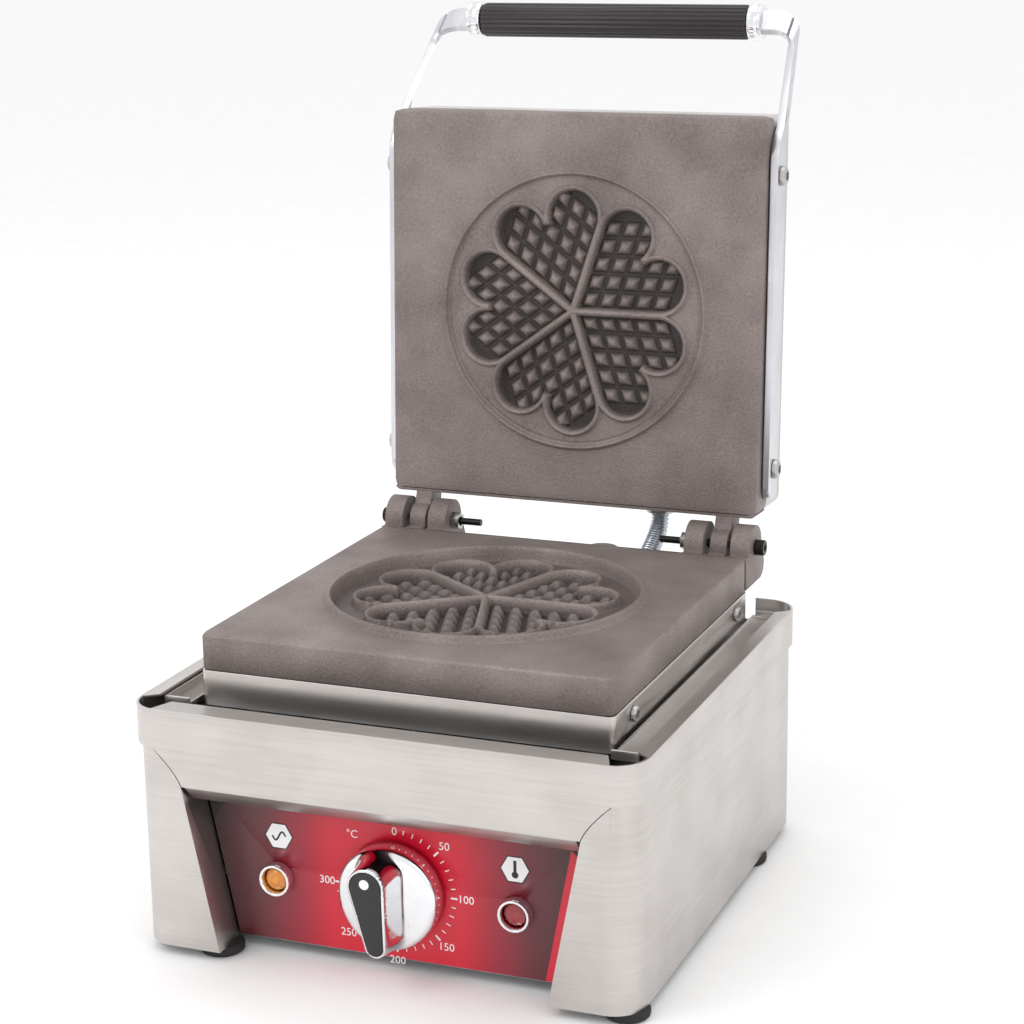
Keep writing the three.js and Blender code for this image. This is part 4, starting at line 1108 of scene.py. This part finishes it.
# ---------------------------------------------------------------- screws
def head_mesh(kind):
    """A screw head of unit radius, 0.5 high, with its recess."""
    profile = [(1.0, 0.0), (1.0, 0.25), (0.93, 0.38), (0.75, 0.47), (0.5, 0.5)]
    if kind == "socket":
        profile = [(1.0, 0.0), (1.0, 0.9), (0.94, 1.0), (0.62, 1.0)]
    sides = 24
    angles = [2 * math.pi * i / sides for i in range(sides)]
    rings = [[Vector((r * math.cos(a), r * math.sin(a), z)) for a in angles] for r, z in profile]
    depth = profile[-1][1] - 0.3
    for radius, z in ((0.5, profile[-1][1]), (0.47, depth), (0.05, depth - 0.03)):
        ring = []
        for i in range(sides):
            a = 2 * math.pi * i / sides
            six = math.cos(math.pi / 6) / math.cos((a + math.pi / 6) % (math.pi / 3) - math.pi / 6)
            ring.append(Vector((radius * six * math.cos(a), radius * six * math.sin(a), z)))
        rings.append(ring)
    return rings_mesh("head", rings)


def make_screws(name, nodes, radius, height_scale, kind, material, body):
    """Heads on the outer side of each bolt, and a plain shank inside."""
    places, shanks = [], []
    for node in nodes:
        low, high = closed_box(node) if body == "lid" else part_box(node)
        side = 1 if low.x > 0 else -1
        y, z = (low.y + high.y) / 2, (low.z + high.z) / 2
        outer = high.x if side > 0 else low.x
        inner = low.x if side > 0 else high.x
        height = (1.0 if kind == "socket" else 0.5) * radius * height_scale
        base = outer - side * height * MM
        places.append((Vector((base, y, z)), (0, side * math.pi / 2, 0)))
        length = abs(base - inner) / MM
        thin = radius * 0.45
        shank = turned("shank", [(0.1, 0), (thin, 0), (thin, length), (0.1, length)], 20, None)
        shank.transform(Matrix.Translation((base, y, z)) @ Matrix.Rotation(-side * math.pi / 2, 4, "Y"))
        shanks.append(shank)
    size = (radius * MM, radius * MM, radius * height_scale * MM)
    heads = repeated(f"{name}_heads", head_mesh(kind), places, size, material)
    meshes = [heads, *shanks]
    if body == "lid":
        for mesh in meshes:
            mesh.transform(OPENED)
    joined(name, meshes, material, body, nodes)


# ---------------------------------------------------------------- everything else keeps its CAD shape
def make_sheet_work():
    for node, width in (
        ("cabinet_shell", 0.35), ("fascia_strip", 0.35), ("top_rim", 0.4), ("drip_channel_left", 0.25),
        ("drip_channel_right", 0.25), ("lower_shell", 0.4),
    ):
        refined(node, width, stainless, "root")
    refined("upper_shell", 0.7, stainless, "lid", 3)
    for corner in ("front_left", "front_right", "rear_left", "rear_right"):
        refined(f"foot_{corner}", 0.5, rubber, "root")
    refined("mains_gland", 0.6, nylon, "root")
    refined("base_conduit_fitting", 0.5, zinc, "root")
    refined("lid_conduit_fitting", 0.5, zinc, "lid")
    for side in ("left", "right"):
        refined(f"hinge_nut_{side}", 0.4, zinc, "root")


def paint_cad():
    """Materials for the CAD nodes that stay as they are."""
    finishes = {
        "stainless_sheet": stainless, "galvanised_sheet": galvanised, "cast_iron": cast_iron,
        "foot_rubber": rubber,
        "printed_film": film, "plated_steel": zinc, "black_oxide_steel": black_oxide,
        "bail_steel": satin_bar,
        "bright_chrome": chrome, "grip_bakelite": bakelite, "black_nylon": nylon, "amber_lens": amber,
        "red_lens": red_lens, "element_sheath": sheath, "mineral_wool": wool, "glazed_porcelain": porcelain,
        "conduit_steel": conduit_steel,
    }
    for part in frame["record"]["subparts"]:
        node = frame["nodes"].get(part["node"])
        if node is None:
            continue
        node.data.materials.clear()
        node.data.materials.append(finishes[part["material_slot"]])


FLOOR_HALF = 60
LIGHT_TARGET = (0, 0, 0.2)
# Name, place, size in metres and power in watts.
LIGHTS = [
    ("key", (-1.2, -1.4, 1.9), (1.2, 1.2), 12),
    ("fill", (1.8, -1.2, 1.2), (1.2, 1.6), 5),
    ("top", (0.1, 0.4, 2.2), (1.6, 1.6), 8),
]


def make_stage():
    bm = bmesh.new()
    bmesh.ops.create_grid(bm, x_segments=2, y_segments=2, size=FLOOR_HALF)
    mesh = bpy.data.meshes.new("floor")
    bm.to_mesh(mesh)
    bm.free()
    mesh.materials.append(floor_material())
    floor = bpy.data.objects.new("floor", mesh)
    bpy.context.scene.collection.objects.link(floor)
    world = bpy.data.worlds.new("studio")
    world.use_nodes = True
    world.node_tree.nodes["Background"].inputs["Color"].default_value = linear("FFFFFF")
    world.node_tree.nodes["Background"].inputs["Strength"].default_value = 1.0
    bpy.context.scene.world = world
    bpy.context.scene.view_settings.view_transform = "Standard"
    for name, place, size, power in LIGHTS:
        make_light(name, place, LIGHT_TARGET, size, power)


make_camera()
make_stage()
paint_cad()
make_sheet_work()
make_plates()
make_handle()
make_conduit()
make_knob()
make_panel()
corners = [f"{end}_{side}" for end in ("front", "rear") for side in ("left", "right")]
shell_screws = [f"shell_screw_{corner}" for corner in corners]
handle_bolts = [f"handle_bolt_{corner}" for corner in corners]
hinge_bolts = ["hinge_bolt_left", "hinge_bolt_right"]
make_screws("shell_screws", shell_screws, 4.6, 1.1, "pan", zinc, "root")
make_screws("handle_bolts", handle_bolts, 6.2, 1.1, "pan", zinc, "lid")
make_screws(
    "hinge_bolts", hinge_bolts, 5.0, 1.2, "socket", black_oxide, "root"
)
